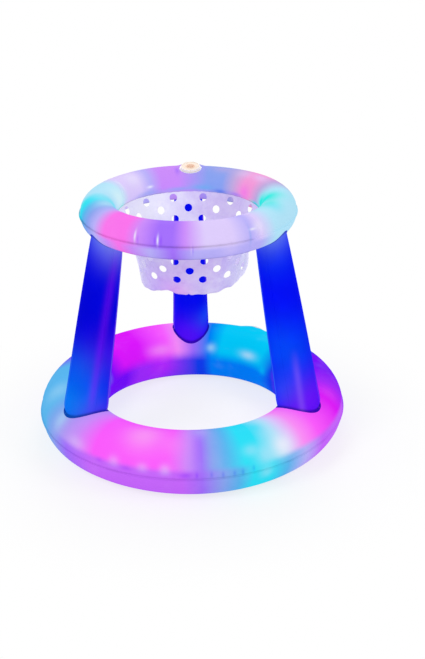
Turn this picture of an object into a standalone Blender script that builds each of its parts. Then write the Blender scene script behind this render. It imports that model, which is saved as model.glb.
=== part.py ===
"""Light-up inflatable floating basketball hoop.

Two inflated rings of clear film, a base float and a rim, are joined by three blue
inflated legs. A perforated film net hangs from the rim's inner seam. Each ring holds
a battery light that is set through its film, and a push-in inflation valve.

Metres, +Z up. The origin is on the ground, under the middle of the base float.
The rear leg stands towards +Y, and -Y is the front.
"""

import math

import bmesh
import bpy
from mathutils import Matrix, Vector

# Film, welds and fits
FILM = 0.0004
PATCH_FILM = 0.0008
SEAT_GAP = 0.0003
CUT_OVERRUN = 0.012
MERGE_DISTANCE = 0.00001
SHARP_ANGLE = 40

# Base float: a ring tube that is a little wider than it is high
BASE_RADIUS = 0.334
BASE_HALF_WIDTH = 0.086
BASE_HALF_HEIGHT = 0.079
BASE_SEAM_LIP = 0.003
BASE_SECTION_FACETS = 8

# Rim float
RIM_RADIUS = 0.235
RIM_HALF_WIDTH = 0.047
RIM_HALF_HEIGHT = 0.0465
RIM_HEIGHT = 0.640
RIM_SEAM_LIP = 0.003
RIM_SECTION_FACETS = 6

RING_STEPS = 36

# Legs: flattened tubes that taper upwards, welded from an outer and an inner panel
LEG_AZIMUTHS = {"rear": 90, "left": 210, "right": 330}
LEG_FOOT_DEPTH = 0.0595
LEG_FOOT_WIDTH = 0.0525
LEG_HEAD_DEPTH = 0.0405
LEG_HEAD_WIDTH = 0.0360
LEG_BULGE = 0.003
LEG_FOOT_FLARE = 0.002
LEG_FLARE_SHARE = 0.36
LEG_FOOT_SHIFT = 0.006
LEG_HEAD_SHIFT = -0.003
LEG_SEAM_LIP = 0.003
LEG_FACETS = 8
LEG_STATIONS = 7
PATCH_LIP = 0.0035
PATCH_FACETS = 22
PATCH_REACH_SHARE = 0.34
AIR_PORT_RADIUS = 0.010
PORT_FACETS = 10

# Net: one film sleeve with punched holes, welded under the rim's inner seam lip
NET_FILM = 0.0004
NET_LIP = 0.0018
NET_HEM_RADIUS = 0.136
NET_DROP = 0.188
NET_WAVE = 0.005
NET_WAVES = 7
NET_SWAY = 0.005
NET_HOLE_RADIUS = 0.0105
NET_HOLE_FACETS = 6
NET_HOLES_ROUND = 14
NET_HOLE_ROWS = 5
NET_HOLE_SPACING = 0.0285
NET_FIRST_HOLE = 0.026

# Lights: each hangs in its ring through a welded collar, measured from the film outwards
LIGHT_SEATS = {"rim": (88, 101), "base": (60, 34)}
COLLAR_RADIUS = 0.031
COLLAR_WALL = 0.0015
COLLAR_CHAMFER = 0.0008
COLLAR_SINK = 0.0015
COLLAR_SKIRT = 0.016
HOUSING_RADIUS = 0.024
HOUSING_WALL = 0.002
HOUSING_FLANGE_RADIUS = 0.0285
HOUSING_FLANGE = 0.002
HOUSING_SLIP = 0.0015
SEAL_SECTION = 0.0008
SEAL_SLACK = 0.0004
LID_RADIUS = 0.0268
LID_THICKNESS = 0.0026
LID_CHAMFER = 0.0008
LID_PLUG_LENGTH = 0.008
LID_PLUG_WALL = 0.002
LID_PLUG_SLACK = 0.0004
LID_GRIPS = 8
LID_GRIP_RADIUS = 0.003
LID_GRIP_BITE = 0.0013
GRIP_FACETS = 8
BUTTON_RADIUS = 0.0084
BUTTON_SLACK = 0.0004
BUTTON_PROUD = 0.0012
BUTTON_CHAMFER = 0.0012
BUTTON_LIP = 0.002
BUTTON_LIP_THICKNESS = 0.0012
BUTTON_STEM_RADIUS = 0.002
BUTTON_STEM_LENGTH = 0.005
SWITCH_RADIUS = 0.0025
SWITCH_HEIGHT = 0.0011
BUTTON_TRAVEL_ROOM = 0.0018
CARRIER_RADIUS = 0.0205
CARRIER_DISC = 0.0015
CARRIER_POST_RADIUS = 0.0022
CELL_RADIUS = 0.00525
CELL_LENGTH = 0.0445
CELL_NUB_RADIUS = 0.0019
CELL_NUB_HEIGHT = 0.0008
CELL_CIRCLE_RADIUS = 0.0082
CELLS = 3
BOARD_RADIUS = 0.0210
BOARD_THICKNESS = 0.0016
CHIP_SIDE = 0.0036
CHIP_HEIGHT = 0.0014
CHIP_CIRCLE_RADIUS = 0.009
CHIP_SINK = 0.0004
CHIPS = 3
HOUSING_FLOOR = 0.0022
WINDOW_RADIUS = 0.017
LENS_RADIUS = 0.0235
LENS_WALL = 0.0014
LENS_DROP = 0.010
LENS_ARC_POINTS = 4
LIGHT_STEPS = 20
INNER_STEPS = 12
SEAL_FACETS = 5

# Valves: a stem that pushes in flush inside a welded pad, with a swinging stopper
VALVE_SEATS = {"rim": (128, 24), "base": (118, 30)}
PAD_RADIUS = 0.0145
PAD_FLARE = 0.002
PAD_HEIGHT = 0.0012
PAD_SKIRT = 0.006
MOUTH_RADIUS = 0.008
MOUTH_THICKNESS = 0.001
MOUTH_SLACK = 0.0004
STEM_RADIUS = 0.0064
STEM_LENGTH = 0.015
VALVE_BORE_RADIUS = 0.0042
PLUG_TOP_RADIUS = 0.0038
PLUG_TIP_RADIUS = 0.0026
PLUG_LENGTH = 0.0045
CAP_RADIUS = 0.0060
CAP_THICKNESS = 0.0014
STRAP_WIDTH = 0.004
STRAP_THICKNESS = 0.001
STRAP_REACH = 0.0076
TAB_REACH = 0.010
VALVE_STEPS = 16


def collection(name):
    """A new collection in the scene."""
    made = bpy.data.collections.new(name)
    bpy.context.scene.collection.children.link(made)
    return made


def clear_scene():
    """Removes what the startup file holds."""
    for obj in list(bpy.data.objects):
        bpy.data.objects.remove(obj)


def finish_material(name, colour, roughness, metallic=0.0):
    """A Principled material with one colour."""
    made = bpy.data.materials.new(name)
    made.use_nodes = True
    shader = made.node_tree.nodes["Principled BSDF"]
    shader.inputs["Base Color"].default_value = (*colour, 1.0)
    shader.inputs["Roughness"].default_value = roughness
    shader.inputs["Metallic"].default_value = metallic
    made.diffuse_color = (*colour, 1.0)
    return made


class Workshop:
    """Where pieces and cutters are kept, and the material of each piece."""

    def __init__(self):
        clear_scene()
        self.pieces = collection("floating_basketball_hoop")
        self.cutters = collection("cutters")
        self.materials = {
            "clear_film": finish_material("clear_film", (0.78, 0.74, 0.95), 0.25),
            "blue_film": finish_material("blue_film", (0.02, 0.03, 0.85), 0.25),
            "net_film": finish_material("net_film", (0.82, 0.76, 0.92), 0.35),
            "soft_collar": finish_material("soft_collar", (0.85, 0.84, 0.90), 0.35),
            "ivory_plastic": finish_material("ivory_plastic", (0.88, 0.83, 0.76), 0.40),
            "salmon_rubber": finish_material("salmon_rubber", (0.85, 0.60, 0.52), 0.55),
            "black_rubber": finish_material("black_rubber", (0.03, 0.03, 0.03), 0.60),
            "clear_plastic": finish_material("clear_plastic", (0.90, 0.92, 0.95), 0.10),
            "green_board": finish_material("green_board", (0.05, 0.25, 0.12), 0.45),
            "cell_steel": finish_material("cell_steel", (0.60, 0.60, 0.62), 0.30, 1.0),
        }

    def piece(self, name, mesh, material, place=None):
        """A named part of the hoop, at place."""
        obj = bpy.data.objects.new(name, mesh)
        self.pieces.objects.link(obj)
        mesh.materials.clear()
        mesh.materials.append(self.materials[material])
        mesh.shade_smooth()
        mesh.set_sharp_from_angle(angle=math.radians(SHARP_ANGLE))
        if place is not None:
            obj.matrix_world = place
        return obj

    def hang(self, obj, name, place):
        """Parents obj to an empty on its joint's axis, and leaves it where it is."""
        pivot = bpy.data.objects.new(name, None)
        self.pieces.objects.link(pivot)
        pivot.matrix_world = place
        obj.parent = pivot
        obj.matrix_parent_inverse = place.inverted()

    def cutter(self, name, mesh, place=None):
        """A helper that only cuts or joins."""
        obj = bpy.data.objects.new(name, mesh)
        self.cutters.objects.link(obj)
        obj.hide_render = True
        obj.display_type = "WIRE"
        if place is not None:
            obj.matrix_world = place
        return obj


def profile_mesh(name, points, closed):
    """A polyline in the XZ plane, from (radius, height) pairs."""
    mesh = bpy.data.meshes.new(name)
    edges = [(i, i + 1) for i in range(len(points) - 1)]
    if closed:
        edges.append((len(points) - 1, 0))
    mesh.from_pydata([(r, 0, z) for r, z in points], edges, [])
    return mesh


def add_screw(obj, steps):
    """Turns the profile once round the object's own Z axis."""
    modifier = obj.modifiers.new("turn", "SCREW")
    modifier.steps = steps
    modifier.render_steps = steps
    modifier.use_merge_vertices = True
    modifier.merge_threshold = MERGE_DISTANCE
    modifier.use_smooth_shade = True


def add_wall(obj, thickness, offset=-1.0):
    """Gives an open surface its thickness, inwards unless offset says otherwise."""
    modifier = obj.modifiers.new("wall", "SOLIDIFY")
    modifier.thickness = thickness
    modifier.offset = offset
    modifier.use_even_offset = True


def add_boolean(obj, other, operation="DIFFERENCE"):
    """Cuts obj with other, joins the two, or keeps what they share."""
    modifier = obj.modifiers.new(operation.lower(), "BOOLEAN")
    modifier.operation = operation
    modifier.object = other


def arc(centre, radii, start, end, count):
    """count points from start to end degrees on an ellipse in the profile plane."""
    angles = [math.radians(start + (end - start) * i / (count - 1)) for i in range(count)]
    return [
        (centre[0] + radii[0] * math.cos(a), centre[1] + radii[1] * math.sin(a))
        for a in angles
    ]


def post_mesh(name, radius, bottom, top, facets):
    """A round post along Z from bottom to top."""
    mesh = bpy.data.meshes.new(name)
    shape = bmesh.new()
    bmesh.ops.create_cone(
        shape, cap_ends=True, segments=facets, radius1=radius, radius2=radius,
        depth=top - bottom, matrix=Matrix.Translation((0, 0, (top + bottom) / 2)),
    )
    shape.to_mesh(mesh)
    shape.free()
    return mesh


def box_mesh(name, low, high):
    """A box between two corners."""
    mesh = bpy.data.meshes.new(name)
    shape = bmesh.new()
    size = Vector(high) - Vector(low)
    middle = (Vector(high) + Vector(low)) / 2
    place = Matrix.Translation(middle) @ Matrix.Diagonal((*size, 1))
    bmesh.ops.create_cube(shape, size=1, matrix=place)
    shape.to_mesh(mesh)
    shape.free()
    return mesh


def spots_round(circle, count):
    """The turning matrices that set count copies evenly on a circle about Z."""
    return [
        Matrix.Rotation(math.tau * i / count, 4, "Z") @ Matrix.Translation((circle, 0, 0))
        for i in range(count)
    ]


def gathered(name, mesh, places):
    """One mesh that holds a copy of the given mesh at each place."""
    shape = bmesh.new()
    for place in places:
        copy = mesh.copy()
        copy.transform(place)
        shape.from_mesh(copy)
        bpy.data.meshes.remove(copy)
    made = bpy.data.meshes.new(name)
    shape.to_mesh(made)
    shape.free()
    return made


def bent_grid(name, columns, rows, point_at):
    """A grid primitive whose vertices go to point_at(column, row)."""
    mesh = bpy.data.meshes.new(name)
    shape = bmesh.new()
    bmesh.ops.create_grid(shape, x_segments=columns, y_segments=rows, size=1)
    for vertex in shape.verts:
        column = round((vertex.co.x + 1) / 2 * columns)
        row = round((vertex.co.y + 1) / 2 * rows)
        vertex.co = point_at(column, row)
    bmesh.ops.remove_doubles(shape, verts=shape.verts, dist=MERGE_DISTANCE)
    shape.to_mesh(mesh)
    shape.free()
    return mesh


def half_section(half_depth, half_width, lip, facets):
    """One panel's outline across an inflated tube, as (across, up) points.

    It runs from one welded lip, over the crown and down to the other lip. The crown is
    a flat facet, so that a ring stands on a flat band and not on a line.
    """
    lip_height = SEAT_GAP / 2 + FILM
    step = math.pi / facets
    root = math.asin(lip_height / half_depth)
    angles = [root] + [step * (i + 0.5) for i in range(facets)] + [math.pi - root]
    over = [(-half_width * math.cos(a), half_depth * math.sin(a)) for a in angles]
    reach = half_width + lip
    return [(-reach, lip_height)] + over + [(reach, lip_height)]


class Ring:
    """An inflated ring float: an elliptical tube swept round the Z axis."""

    def __init__(self, name, radius, half_width, half_height, middle, lip, facets):
        self.name = name
        self.radius = radius
        self.half_width = half_width
        self.half_height = half_height
        self.middle = middle
        self.lip = lip
        self.facets = facets

    def panel_profile(self, side):
        """The upper (side 1) or lower (side -1) panel's profile, lip to lip."""
        across = half_section(self.half_height, self.half_width, self.lip, self.facets)
        points = [(self.radius + x, self.middle + side * z) for x, z in across]
        return points if side > 0 else points[::-1]

    def solid_profile(self, offset):
        """The whole tube's section, grown by offset, as one closed loop."""
        step = 180 / self.facets
        half = [0] + [step * (i + 0.5) for i in range(self.facets)]
        angles = half + [180 + a for a in half]
        wide, high = self.half_width + offset, self.half_height + offset
        loop = [
            (
                self.radius + wide * math.cos(math.radians(a)),
                self.middle + high * math.sin(math.radians(a)),
            )
            for a in angles
        ]
        return loop[::-1]

    def seat(self, azimuth, section_angle):
        """The place on the film at these angles, with its Z axis pointing outwards."""
        a = math.radians(section_angle)
        outward = Vector((math.cos(a) / self.half_width, 0, math.sin(a) / self.half_height))
        normal = outward.normalized()
        point = Vector(
            (
                self.radius + self.half_width * math.cos(a),
                0,
                self.middle + self.half_height * math.sin(a),
            )
        )
        side = Vector((0, 1, 0))
        frame = Matrix((side.cross(normal), side, normal)).transposed().to_4x4()
        turn = Matrix.Rotation(math.radians(azimuth), 4, "Z")
        return turn @ Matrix.Translation(point) @ frame


def make_rings():
    """The base float and the rim float."""
    flat_share = math.sin(math.pi / 2 - math.pi / (2 * BASE_SECTION_FACETS))
    base = Ring(
        "base", BASE_RADIUS, BASE_HALF_WIDTH, BASE_HALF_HEIGHT,
        BASE_HALF_HEIGHT * flat_share, BASE_SEAM_LIP, BASE_SECTION_FACETS,
    )
    rim = Ring(
        "rim", RIM_RADIUS, RIM_HALF_WIDTH, RIM_HALF_HEIGHT,
        RIM_HEIGHT, RIM_SEAM_LIP, RIM_SECTION_FACETS,
    )
    return base, rim


def ring_cutter(shop, ring, offset, name):
    """The whole ring tube, grown by offset, for trimming what sits on it."""
    mesh = profile_mesh(name, ring.solid_profile(offset), closed=True)
    obj = shop.cutter(name, mesh)
    add_screw(obj, RING_STEPS)
    return obj


def make_ring_panels(shop, ring):
    """The two welded film panels of one ring."""
    panels = {}
    for side, word in ((1, "top"), (-1, "bottom")):
        name = f"{ring.name}_{word}_panel"
        mesh = profile_mesh(name, ring.panel_profile(side), closed=False)
        panel = shop.piece(name, mesh, "clear_film")
        add_screw(panel, RING_STEPS)
        add_wall(panel, FILM)
        panels[word] = panel
    return panels


class Leg:
    """One leg's own frame: Z runs from the base tube's middle to the rim tube's."""

    def __init__(self, name, azimuth, base, rim):
        self.name = name
        foot = Vector((base.radius + LEG_FOOT_SHIFT, 0, base.middle))
        head = Vector((rim.radius + LEG_HEAD_SHIFT, 0, rim.middle))
        self.length = (head - foot).length
        up = (head - foot).normalized()
        side = Vector((0, 1, 0))
        frame = Matrix((side.cross(up), side, up)).transposed().to_4x4()
        turn = Matrix.Rotation(math.radians(azimuth), 4, "Z")
        self.place = turn @ Matrix.Translation(foot) @ frame

    def section(self, share):
        """Half the depth and half the width at this share of the length."""
        bulge = LEG_BULGE * 4 * share * (1 - share)
        flare = LEG_FOOT_FLARE * max(0.0, 1 - share / LEG_FLARE_SHARE) ** 2
        depth = LEG_FOOT_DEPTH + (LEG_HEAD_DEPTH - LEG_FOOT_DEPTH) * share
        width = LEG_FOOT_WIDTH + (LEG_HEAD_WIDTH - LEG_FOOT_WIDTH) * share
        return depth + bulge + flare, width + bulge + flare

    def panel_mesh(self, side):
        """The outer (side 1) or inner (side -1) panel as an open surface."""
        columns = LEG_FACETS + 3

        def point_at(column, row):
            share = row / LEG_STATIONS
            depth, width = self.section(share)
            y, x = half_section(depth, width, LEG_SEAM_LIP, LEG_FACETS)[column]
            return Vector((side * x, side * y, share * self.length))

        return bent_grid(f"leg_{self.name}_film", columns, LEG_STATIONS, point_at)

    def plug_mesh(self, name, low, high):
        """The leg's own outline, a patch lip wider, between two shares of its length."""
        mesh = post_mesh(name, 1, low, high, PATCH_FACETS)
        for vertex in mesh.vertices:
            share = vertex.co.z
            depth, width = self.section(share)
            vertex.co = (
                vertex.co.x * (depth + PATCH_LIP),
                vertex.co.y * (width + PATCH_LIP),
                share * self.length,
            )
        return mesh


def make_leg(shop, leg, trims, base_top_panel):
    """Two side-welded panels, and the patch that closes each end against its ring."""
    for side, word in ((1, "outer"), (-1, "inner")):
        panel = shop.piece(
            f"leg_{leg.name}_{word}_panel", leg.panel_mesh(side), "blue_film", leg.place
        )
        add_wall(panel, FILM)
        add_boolean(panel, trims["base"]["leg"])
        add_boolean(panel, trims["rim"]["leg"])
    port_top = leg.length * PATCH_REACH_SHARE
    port_mesh = post_mesh("air_port", AIR_PORT_RADIUS, 0, port_top, PORT_FACETS)
    port = shop.cutter(f"leg_{leg.name}_air_port", port_mesh, leg.place)
    add_boolean(base_top_panel, port)
    for word, ring, low, high in (
        ("foot", "base", 0, PATCH_REACH_SHARE),
        ("head", "rim", 1 - PATCH_REACH_SHARE, 1),
    ):
        name = f"leg_{leg.name}_{word}_patch"
        patch = shop.piece(name, leg.plug_mesh(name, low, high), "blue_film", leg.place)
        add_boolean(patch, trims[ring]["patch"], "INTERSECT")
        add_boolean(patch, trims[ring]["seat"])
        if word == "foot":
            add_boolean(patch, port)


def net_surface(rim):
    """The net's shape: a function of the angle round it and of how far down a point is."""
    top_radius = rim.radius - rim.half_width - rim.lip
    top = rim.middle - SEAT_GAP / 2 - FILM - SEAT_GAP - NET_FILM / 2

    def point_at(angle, drop):
        share = drop / NET_DROP
        wave = math.cos(NET_WAVES * angle) + math.sin((NET_WAVES - 2) * angle)
        radius = top_radius + (NET_HEM_RADIUS - top_radius) * share
        radius += NET_WAVE * wave / 2 * share**2
        height = top - drop - NET_SWAY * share * math.cos(2 * angle)
        return Vector((radius * math.cos(angle), radius * math.sin(angle), height))

    return point_at


def make_net(shop, rim):
    """The punched film sleeve, with a flat lip under the rim's inner seam.

    The sleeve's grid has a cell for each hole and each gap between two holes, so that
    every hole lies inside one cell.
    """
    surface = net_surface(rim)
    columns = 2 * NET_HOLES_ROUND
    edge = NET_FIRST_HOLE - NET_HOLE_SPACING / 2
    drops = [edge + NET_HOLE_SPACING * (i + 1) for i in range(NET_HOLE_ROWS)]
    drops = [0] + drops + [NET_DROP]

    def point_at(column, row):
        angle = math.pi / 2 - math.tau * (column + 0.5) / columns
        if row == 0:
            outward = Vector((math.cos(angle), math.sin(angle), 0))
            return surface(angle, 0) + outward * NET_LIP
        return surface(angle, drops[row - 1])

    mesh = bent_grid("net", columns, len(drops), point_at)
    net = shop.piece("net", mesh, "net_film")
    add_wall(net, NET_FILM, 0.0)

    punch = post_mesh(
        "punch", NET_HOLE_RADIUS, -CUT_OVERRUN, CUT_OVERRUN, NET_HOLE_FACETS
    )
    places = []
    for row in range(NET_HOLE_ROWS):
        drop = NET_FIRST_HOLE + NET_HOLE_SPACING * row
        stagger = (row + 1) % 2
        for i in range(NET_HOLES_ROUND):
            angle = math.pi / 2 + math.tau * (2 * i + stagger) / columns
            outward = Matrix.Rotation(angle, 4, "Z") @ Matrix.Rotation(math.pi / 2, 4, "Y")
            places.append(Matrix.Translation(surface(angle, drop)) @ outward)
    punches = shop.cutter("net_punches", gathered("net_punches", punch, places))
    add_boolean(net, punches)
    return net


def turned(shop, name, profile, steps, material, place, closed=True):
    """A turned piece, from a profile that runs down its outer side."""
    obj = shop.piece(name, profile_mesh(name, profile, closed), material, place)
    add_screw(obj, steps)
    return obj


def light_levels():
    """The heights of the light's pieces along its axis, with the film at zero."""
    level = {"collar_top": -COLLAR_SINK}
    level["flange_under"] = level["collar_top"] + SEAT_GAP
    level["flange_top"] = level["flange_under"] + HOUSING_FLANGE
    level["seal_ledge"] = level["flange_top"] - 2 * SEAL_SECTION
    level["seal_middle"] = level["seal_ledge"] + SEAT_GAP + SEAL_SECTION
    level["lid_under"] = level["seal_middle"] + SEAL_SECTION + SEAT_GAP
    level["lid_top"] = level["lid_under"] + LID_THICKNESS
    level["plug_end"] = level["lid_under"] - LID_PLUG_LENGTH
    level["button_lip"] = level["lid_under"] - SEAT_GAP
    level["stem_end"] = level["button_lip"] - BUTTON_LIP_THICKNESS - BUTTON_STEM_LENGTH
    level["switch_top"] = level["stem_end"] - BUTTON_TRAVEL_ROOM
    level["carrier_top"] = min(level["switch_top"] - SWITCH_HEIGHT, level["plug_end"] - SEAT_GAP)
    level["cell_top"] = level["carrier_top"] - CARRIER_DISC - SEAT_GAP
    level["cell_foot"] = level["cell_top"] - CELL_LENGTH
    level["carrier_foot"] = level["cell_foot"] - SEAT_GAP - CARRIER_DISC
    level["board_top"] = level["carrier_foot"] - SEAT_GAP
    level["board_under"] = level["board_top"] - BOARD_THICKNESS
    level["floor_top"] = level["board_under"] - SEAT_GAP
    level["floor_under"] = level["floor_top"] - HOUSING_FLOOR
    level["lens_top"] = level["floor_under"] - SEAT_GAP
    return level


def make_light_shell(shop, name, place, level):
    """The soft welded collar, the housing that drops through it, and its lens."""
    bore = HOUSING_RADIUS + HOUSING_SLIP
    skirt = COLLAR_RADIUS - COLLAR_WALL
    turned(
        shop, f"{name}_light_collar",
        [
            (bore, level["collar_top"]),
            (COLLAR_RADIUS - COLLAR_CHAMFER, level["collar_top"]),
            (COLLAR_RADIUS, level["collar_top"] - COLLAR_CHAMFER),
            (COLLAR_RADIUS, -COLLAR_SKIRT),
            (skirt, -COLLAR_SKIRT),
            (skirt, level["collar_top"] - COLLAR_WALL),
            (bore, level["collar_top"] - COLLAR_WALL),
        ],
        LIGHT_STEPS, "soft_collar", place,
    )
    inner = HOUSING_RADIUS - HOUSING_WALL
    ledge = inner + 2 * SEAL_SECTION + 2 * SEAL_SLACK
    turned(
        shop, f"{name}_light_housing",
        [
            (ledge, level["flange_top"]),
            (HOUSING_FLANGE_RADIUS, level["flange_top"]),
            (HOUSING_FLANGE_RADIUS, level["flange_under"]),
            (HOUSING_RADIUS, level["flange_under"]),
            (HOUSING_RADIUS, level["floor_under"]),
            (WINDOW_RADIUS, level["floor_under"]),
            (WINDOW_RADIUS, level["floor_top"]),
            (inner, level["floor_top"]),
            (inner, level["seal_ledge"]),
            (ledge, level["seal_ledge"]),
        ],
        LIGHT_STEPS, "ivory_plastic", place,
    )
    top = level["lens_top"]
    inside = (LENS_RADIUS - LENS_WALL, LENS_DROP - LENS_WALL)
    dome = arc((0, top), inside, -90, 0, LENS_ARC_POINTS)
    dome += arc((0, top), (LENS_RADIUS, LENS_DROP), 0, -90, LENS_ARC_POINTS)
    dome[0] = (0, dome[0][1])
    dome[-1] = (0, dome[-1][1])
    turned(
        shop, f"{name}_light_lens", dome, INNER_STEPS, "clear_plastic", place, closed=False
    )


def make_light_inside(shop, name, place, level):
    """The battery carrier with its switch, its three cells, and the board with its chips."""
    foot, top = level["carrier_foot"], level["carrier_top"]
    turned(
        shop, f"{name}_light_carrier",
        [
            (0, top + SWITCH_HEIGHT),
            (SWITCH_RADIUS, top + SWITCH_HEIGHT),
            (SWITCH_RADIUS, top),
            (CARRIER_RADIUS, top),
            (CARRIER_RADIUS, top - CARRIER_DISC),
            (CARRIER_POST_RADIUS, top - CARRIER_DISC),
            (CARRIER_POST_RADIUS, foot + CARRIER_DISC),
            (CARRIER_RADIUS, foot + CARRIER_DISC),
            (CARRIER_RADIUS, foot),
            (0, foot),
        ],
        INNER_STEPS, "black_rubber", place, closed=False,
    )
    shoulder = level["cell_top"] - CELL_NUB_HEIGHT
    cell = [
        (0, level["cell_top"]),
        (CELL_NUB_RADIUS, level["cell_top"]),
        (CELL_NUB_RADIUS, shoulder),
        (CELL_RADIUS, shoulder),
        (CELL_RADIUS, level["cell_foot"]),
        (0, level["cell_foot"]),
    ]
    for i, spot in enumerate(spots_round(CELL_CIRCLE_RADIUS, CELLS)):
        turned(
            shop, f"{name}_light_cell_{i + 1}", cell, INNER_STEPS // 2, "cell_steel",
            place @ spot, closed=False,
        )
    board_mesh = post_mesh(
        "board", BOARD_RADIUS, level["board_under"], level["board_top"], INNER_STEPS
    )
    board = shop.piece(f"{name}_light_board", board_mesh, "green_board", place)
    half = CHIP_SIDE / 2
    under = level["board_under"]
    chip = box_mesh(
        "chip", (-half, -half, under - CHIP_HEIGHT), (half, half, under + CHIP_SINK)
    )
    chips = gathered(f"{name}_chips", chip, spots_round(CHIP_CIRCLE_RADIUS, CHIPS))
    add_boolean(board, shop.cutter(f"{name}_chips", chips, place), "UNION")


def make_light_lid(shop, name, place, level):
    """The screw lid, the seal under it, and the push button in its middle."""
    plug = HOUSING_RADIUS - HOUSING_WALL - LID_PLUG_SLACK
    hole = BUTTON_RADIUS + BUTTON_SLACK
    lid = turned(
        shop, f"{name}_light_lid",
        [
            (hole, level["lid_top"]),
            (LID_RADIUS - LID_CHAMFER, level["lid_top"]),
            (LID_RADIUS, level["lid_top"] - LID_CHAMFER),
            (LID_RADIUS, level["lid_under"]),
            (plug, level["lid_under"]),
            (plug, level["plug_end"]),
            (plug - LID_PLUG_WALL, level["plug_end"]),
            (plug - LID_PLUG_WALL, level["lid_under"]),
            (hole, level["lid_under"]),
        ],
        LIGHT_STEPS, "ivory_plastic", place,
    )
    grip = post_mesh(
        "grip", LID_GRIP_RADIUS, level["lid_under"] - CUT_OVERRUN,
        level["lid_top"] + CUT_OVERRUN, GRIP_FACETS,
    )
    reach = LID_RADIUS + LID_GRIP_RADIUS - LID_GRIP_BITE
    grips = gathered(f"{name}_grips", grip, spots_round(reach, LID_GRIPS))
    add_boolean(lid, shop.cutter(f"{name}_grips", grips, place))

    inner = HOUSING_RADIUS - HOUSING_WALL
    seal_centre = (inner + SEAL_SLACK + SEAL_SECTION, level["seal_middle"])
    ring = arc(seal_centre, (SEAL_SECTION, SEAL_SECTION), 90, -270, SEAL_FACETS + 1)[:-1]
    turned(shop, f"{name}_light_seal", ring, LIGHT_STEPS, "black_rubber", place)

    lip_under = level["button_lip"] - BUTTON_LIP_THICKNESS
    top = level["lid_top"] + BUTTON_PROUD
    turned(
        shop, f"{name}_light_button",
        [
            (0, top),
            (BUTTON_RADIUS - BUTTON_CHAMFER, top),
            (BUTTON_RADIUS, top - BUTTON_CHAMFER),
            (BUTTON_RADIUS, level["button_lip"]),
            (BUTTON_RADIUS + BUTTON_LIP, level["button_lip"]),
            (BUTTON_RADIUS + BUTTON_LIP, lip_under),
            (BUTTON_STEM_RADIUS, lip_under),
            (BUTTON_STEM_RADIUS, level["stem_end"]),
            (0, level["stem_end"]),
        ],
        INNER_STEPS, "salmon_rubber", place, closed=False,
    )


def make_light(shop, ring, panel):
    """One whole battery light, set through the film of its ring."""
    place = ring.seat(*LIGHT_SEATS[ring.name])
    level = light_levels()
    window = post_mesh(
        "light_window", COLLAR_RADIUS + SEAT_GAP, -COLLAR_SKIRT, CUT_OVERRUN, LIGHT_STEPS
    )
    add_boolean(panel, shop.cutter(f"{ring.name}_light_window", window, place))
    make_light_shell(shop, ring.name, place, level)
    make_light_inside(shop, ring.name, place, level)
    make_light_lid(shop, ring.name, place, level)


def make_valve(shop, ring, ring_seat, panel):
    """The welded pad, the stem that slides in it, and the stopper on its strap."""
    place = ring.seat(*VALVE_SEATS[ring.name])
    bore = MOUTH_RADIUS + MOUTH_SLACK
    window = post_mesh("valve_window", bore, -STEM_LENGTH, CUT_OVERRUN, VALVE_STEPS)
    add_boolean(panel, shop.cutter(f"{ring.name}_valve_window", window, place))
    pad = turned(
        shop, f"{ring.name}_valve_pad",
        [
            (bore, PAD_HEIGHT),
            (PAD_RADIUS, PAD_HEIGHT),
            (PAD_RADIUS + PAD_FLARE, -PAD_SKIRT),
            (bore, -PAD_SKIRT),
        ],
        VALVE_STEPS, "soft_collar", place,
    )
    add_boolean(pad, ring_seat)
    turned(
        shop, f"{ring.name}_valve_stem",
        [
            (VALVE_BORE_RADIUS, PAD_HEIGHT),
            (MOUTH_RADIUS, PAD_HEIGHT),
            (MOUTH_RADIUS, PAD_HEIGHT - MOUTH_THICKNESS),
            (STEM_RADIUS, PAD_HEIGHT - MOUTH_THICKNESS),
            (STEM_RADIUS, PAD_HEIGHT - STEM_LENGTH),
            (VALVE_BORE_RADIUS, PAD_HEIGHT - STEM_LENGTH),
        ],
        VALVE_STEPS, "soft_collar", place,
    )
    under = PAD_HEIGHT + SEAT_GAP
    hinge_spot = Matrix.Translation((-STRAP_REACH, 0, under + STRAP_THICKNESS / 2))
    stopper = turned(
        shop, f"{ring.name}_valve_stopper",
        [
            (0, under + CAP_THICKNESS),
            (CAP_RADIUS, under + CAP_THICKNESS),
            (CAP_RADIUS, under),
            (PLUG_TOP_RADIUS, under),
            (PLUG_TIP_RADIUS, under - PLUG_LENGTH),
            (0, under - PLUG_LENGTH),
        ],
        VALVE_STEPS, "soft_collar", place, closed=False,
    )
    strap = box_mesh(
        "strap",
        (-STRAP_REACH, -STRAP_WIDTH / 2, under),
        (TAB_REACH, STRAP_WIDTH / 2, under + STRAP_THICKNESS),
    )
    add_boolean(stopper, shop.cutter(f"{ring.name}_valve_strap", strap, place), "UNION")
    shop.hang(stopper, f"{ring.name}_stopper_hinge", place @ hinge_spot)


def main():
    """Builds the whole hoop."""
    shop = Workshop()
    rings = make_rings()
    trims, panels = {}, {}
    for ring in rings:
        panels[ring.name] = make_ring_panels(shop, ring)
        offsets = {
            "seat": SEAT_GAP,
            "patch": SEAT_GAP + PATCH_FILM,
            "leg": SEAT_GAP + PATCH_FILM + SEAT_GAP,
        }
        trims[ring.name] = {
            use: ring_cutter(shop, ring, offset, f"{ring.name}_{use}_trim")
            for use, offset in offsets.items()
        }
    base, rim = rings
    for name, azimuth in LEG_AZIMUTHS.items():
        make_leg(shop, Leg(name, azimuth, base, rim), trims, panels["base"]["top"])
    make_net(shop, rim)
    for ring in rings:
        make_light(shop, ring, panels[ring.name]["top"])
        make_valve(shop, ring, trims[ring.name]["seat"], panels[ring.name]["top"])


main()
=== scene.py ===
"""Looks of the light-up inflatable floating basketball hoop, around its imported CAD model.

Two glowing rings of clear film, three blue inflated legs, a punched film net, and the
battery lights and valves that are set through the rings. Metres, +Z up.
"""

import math

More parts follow.
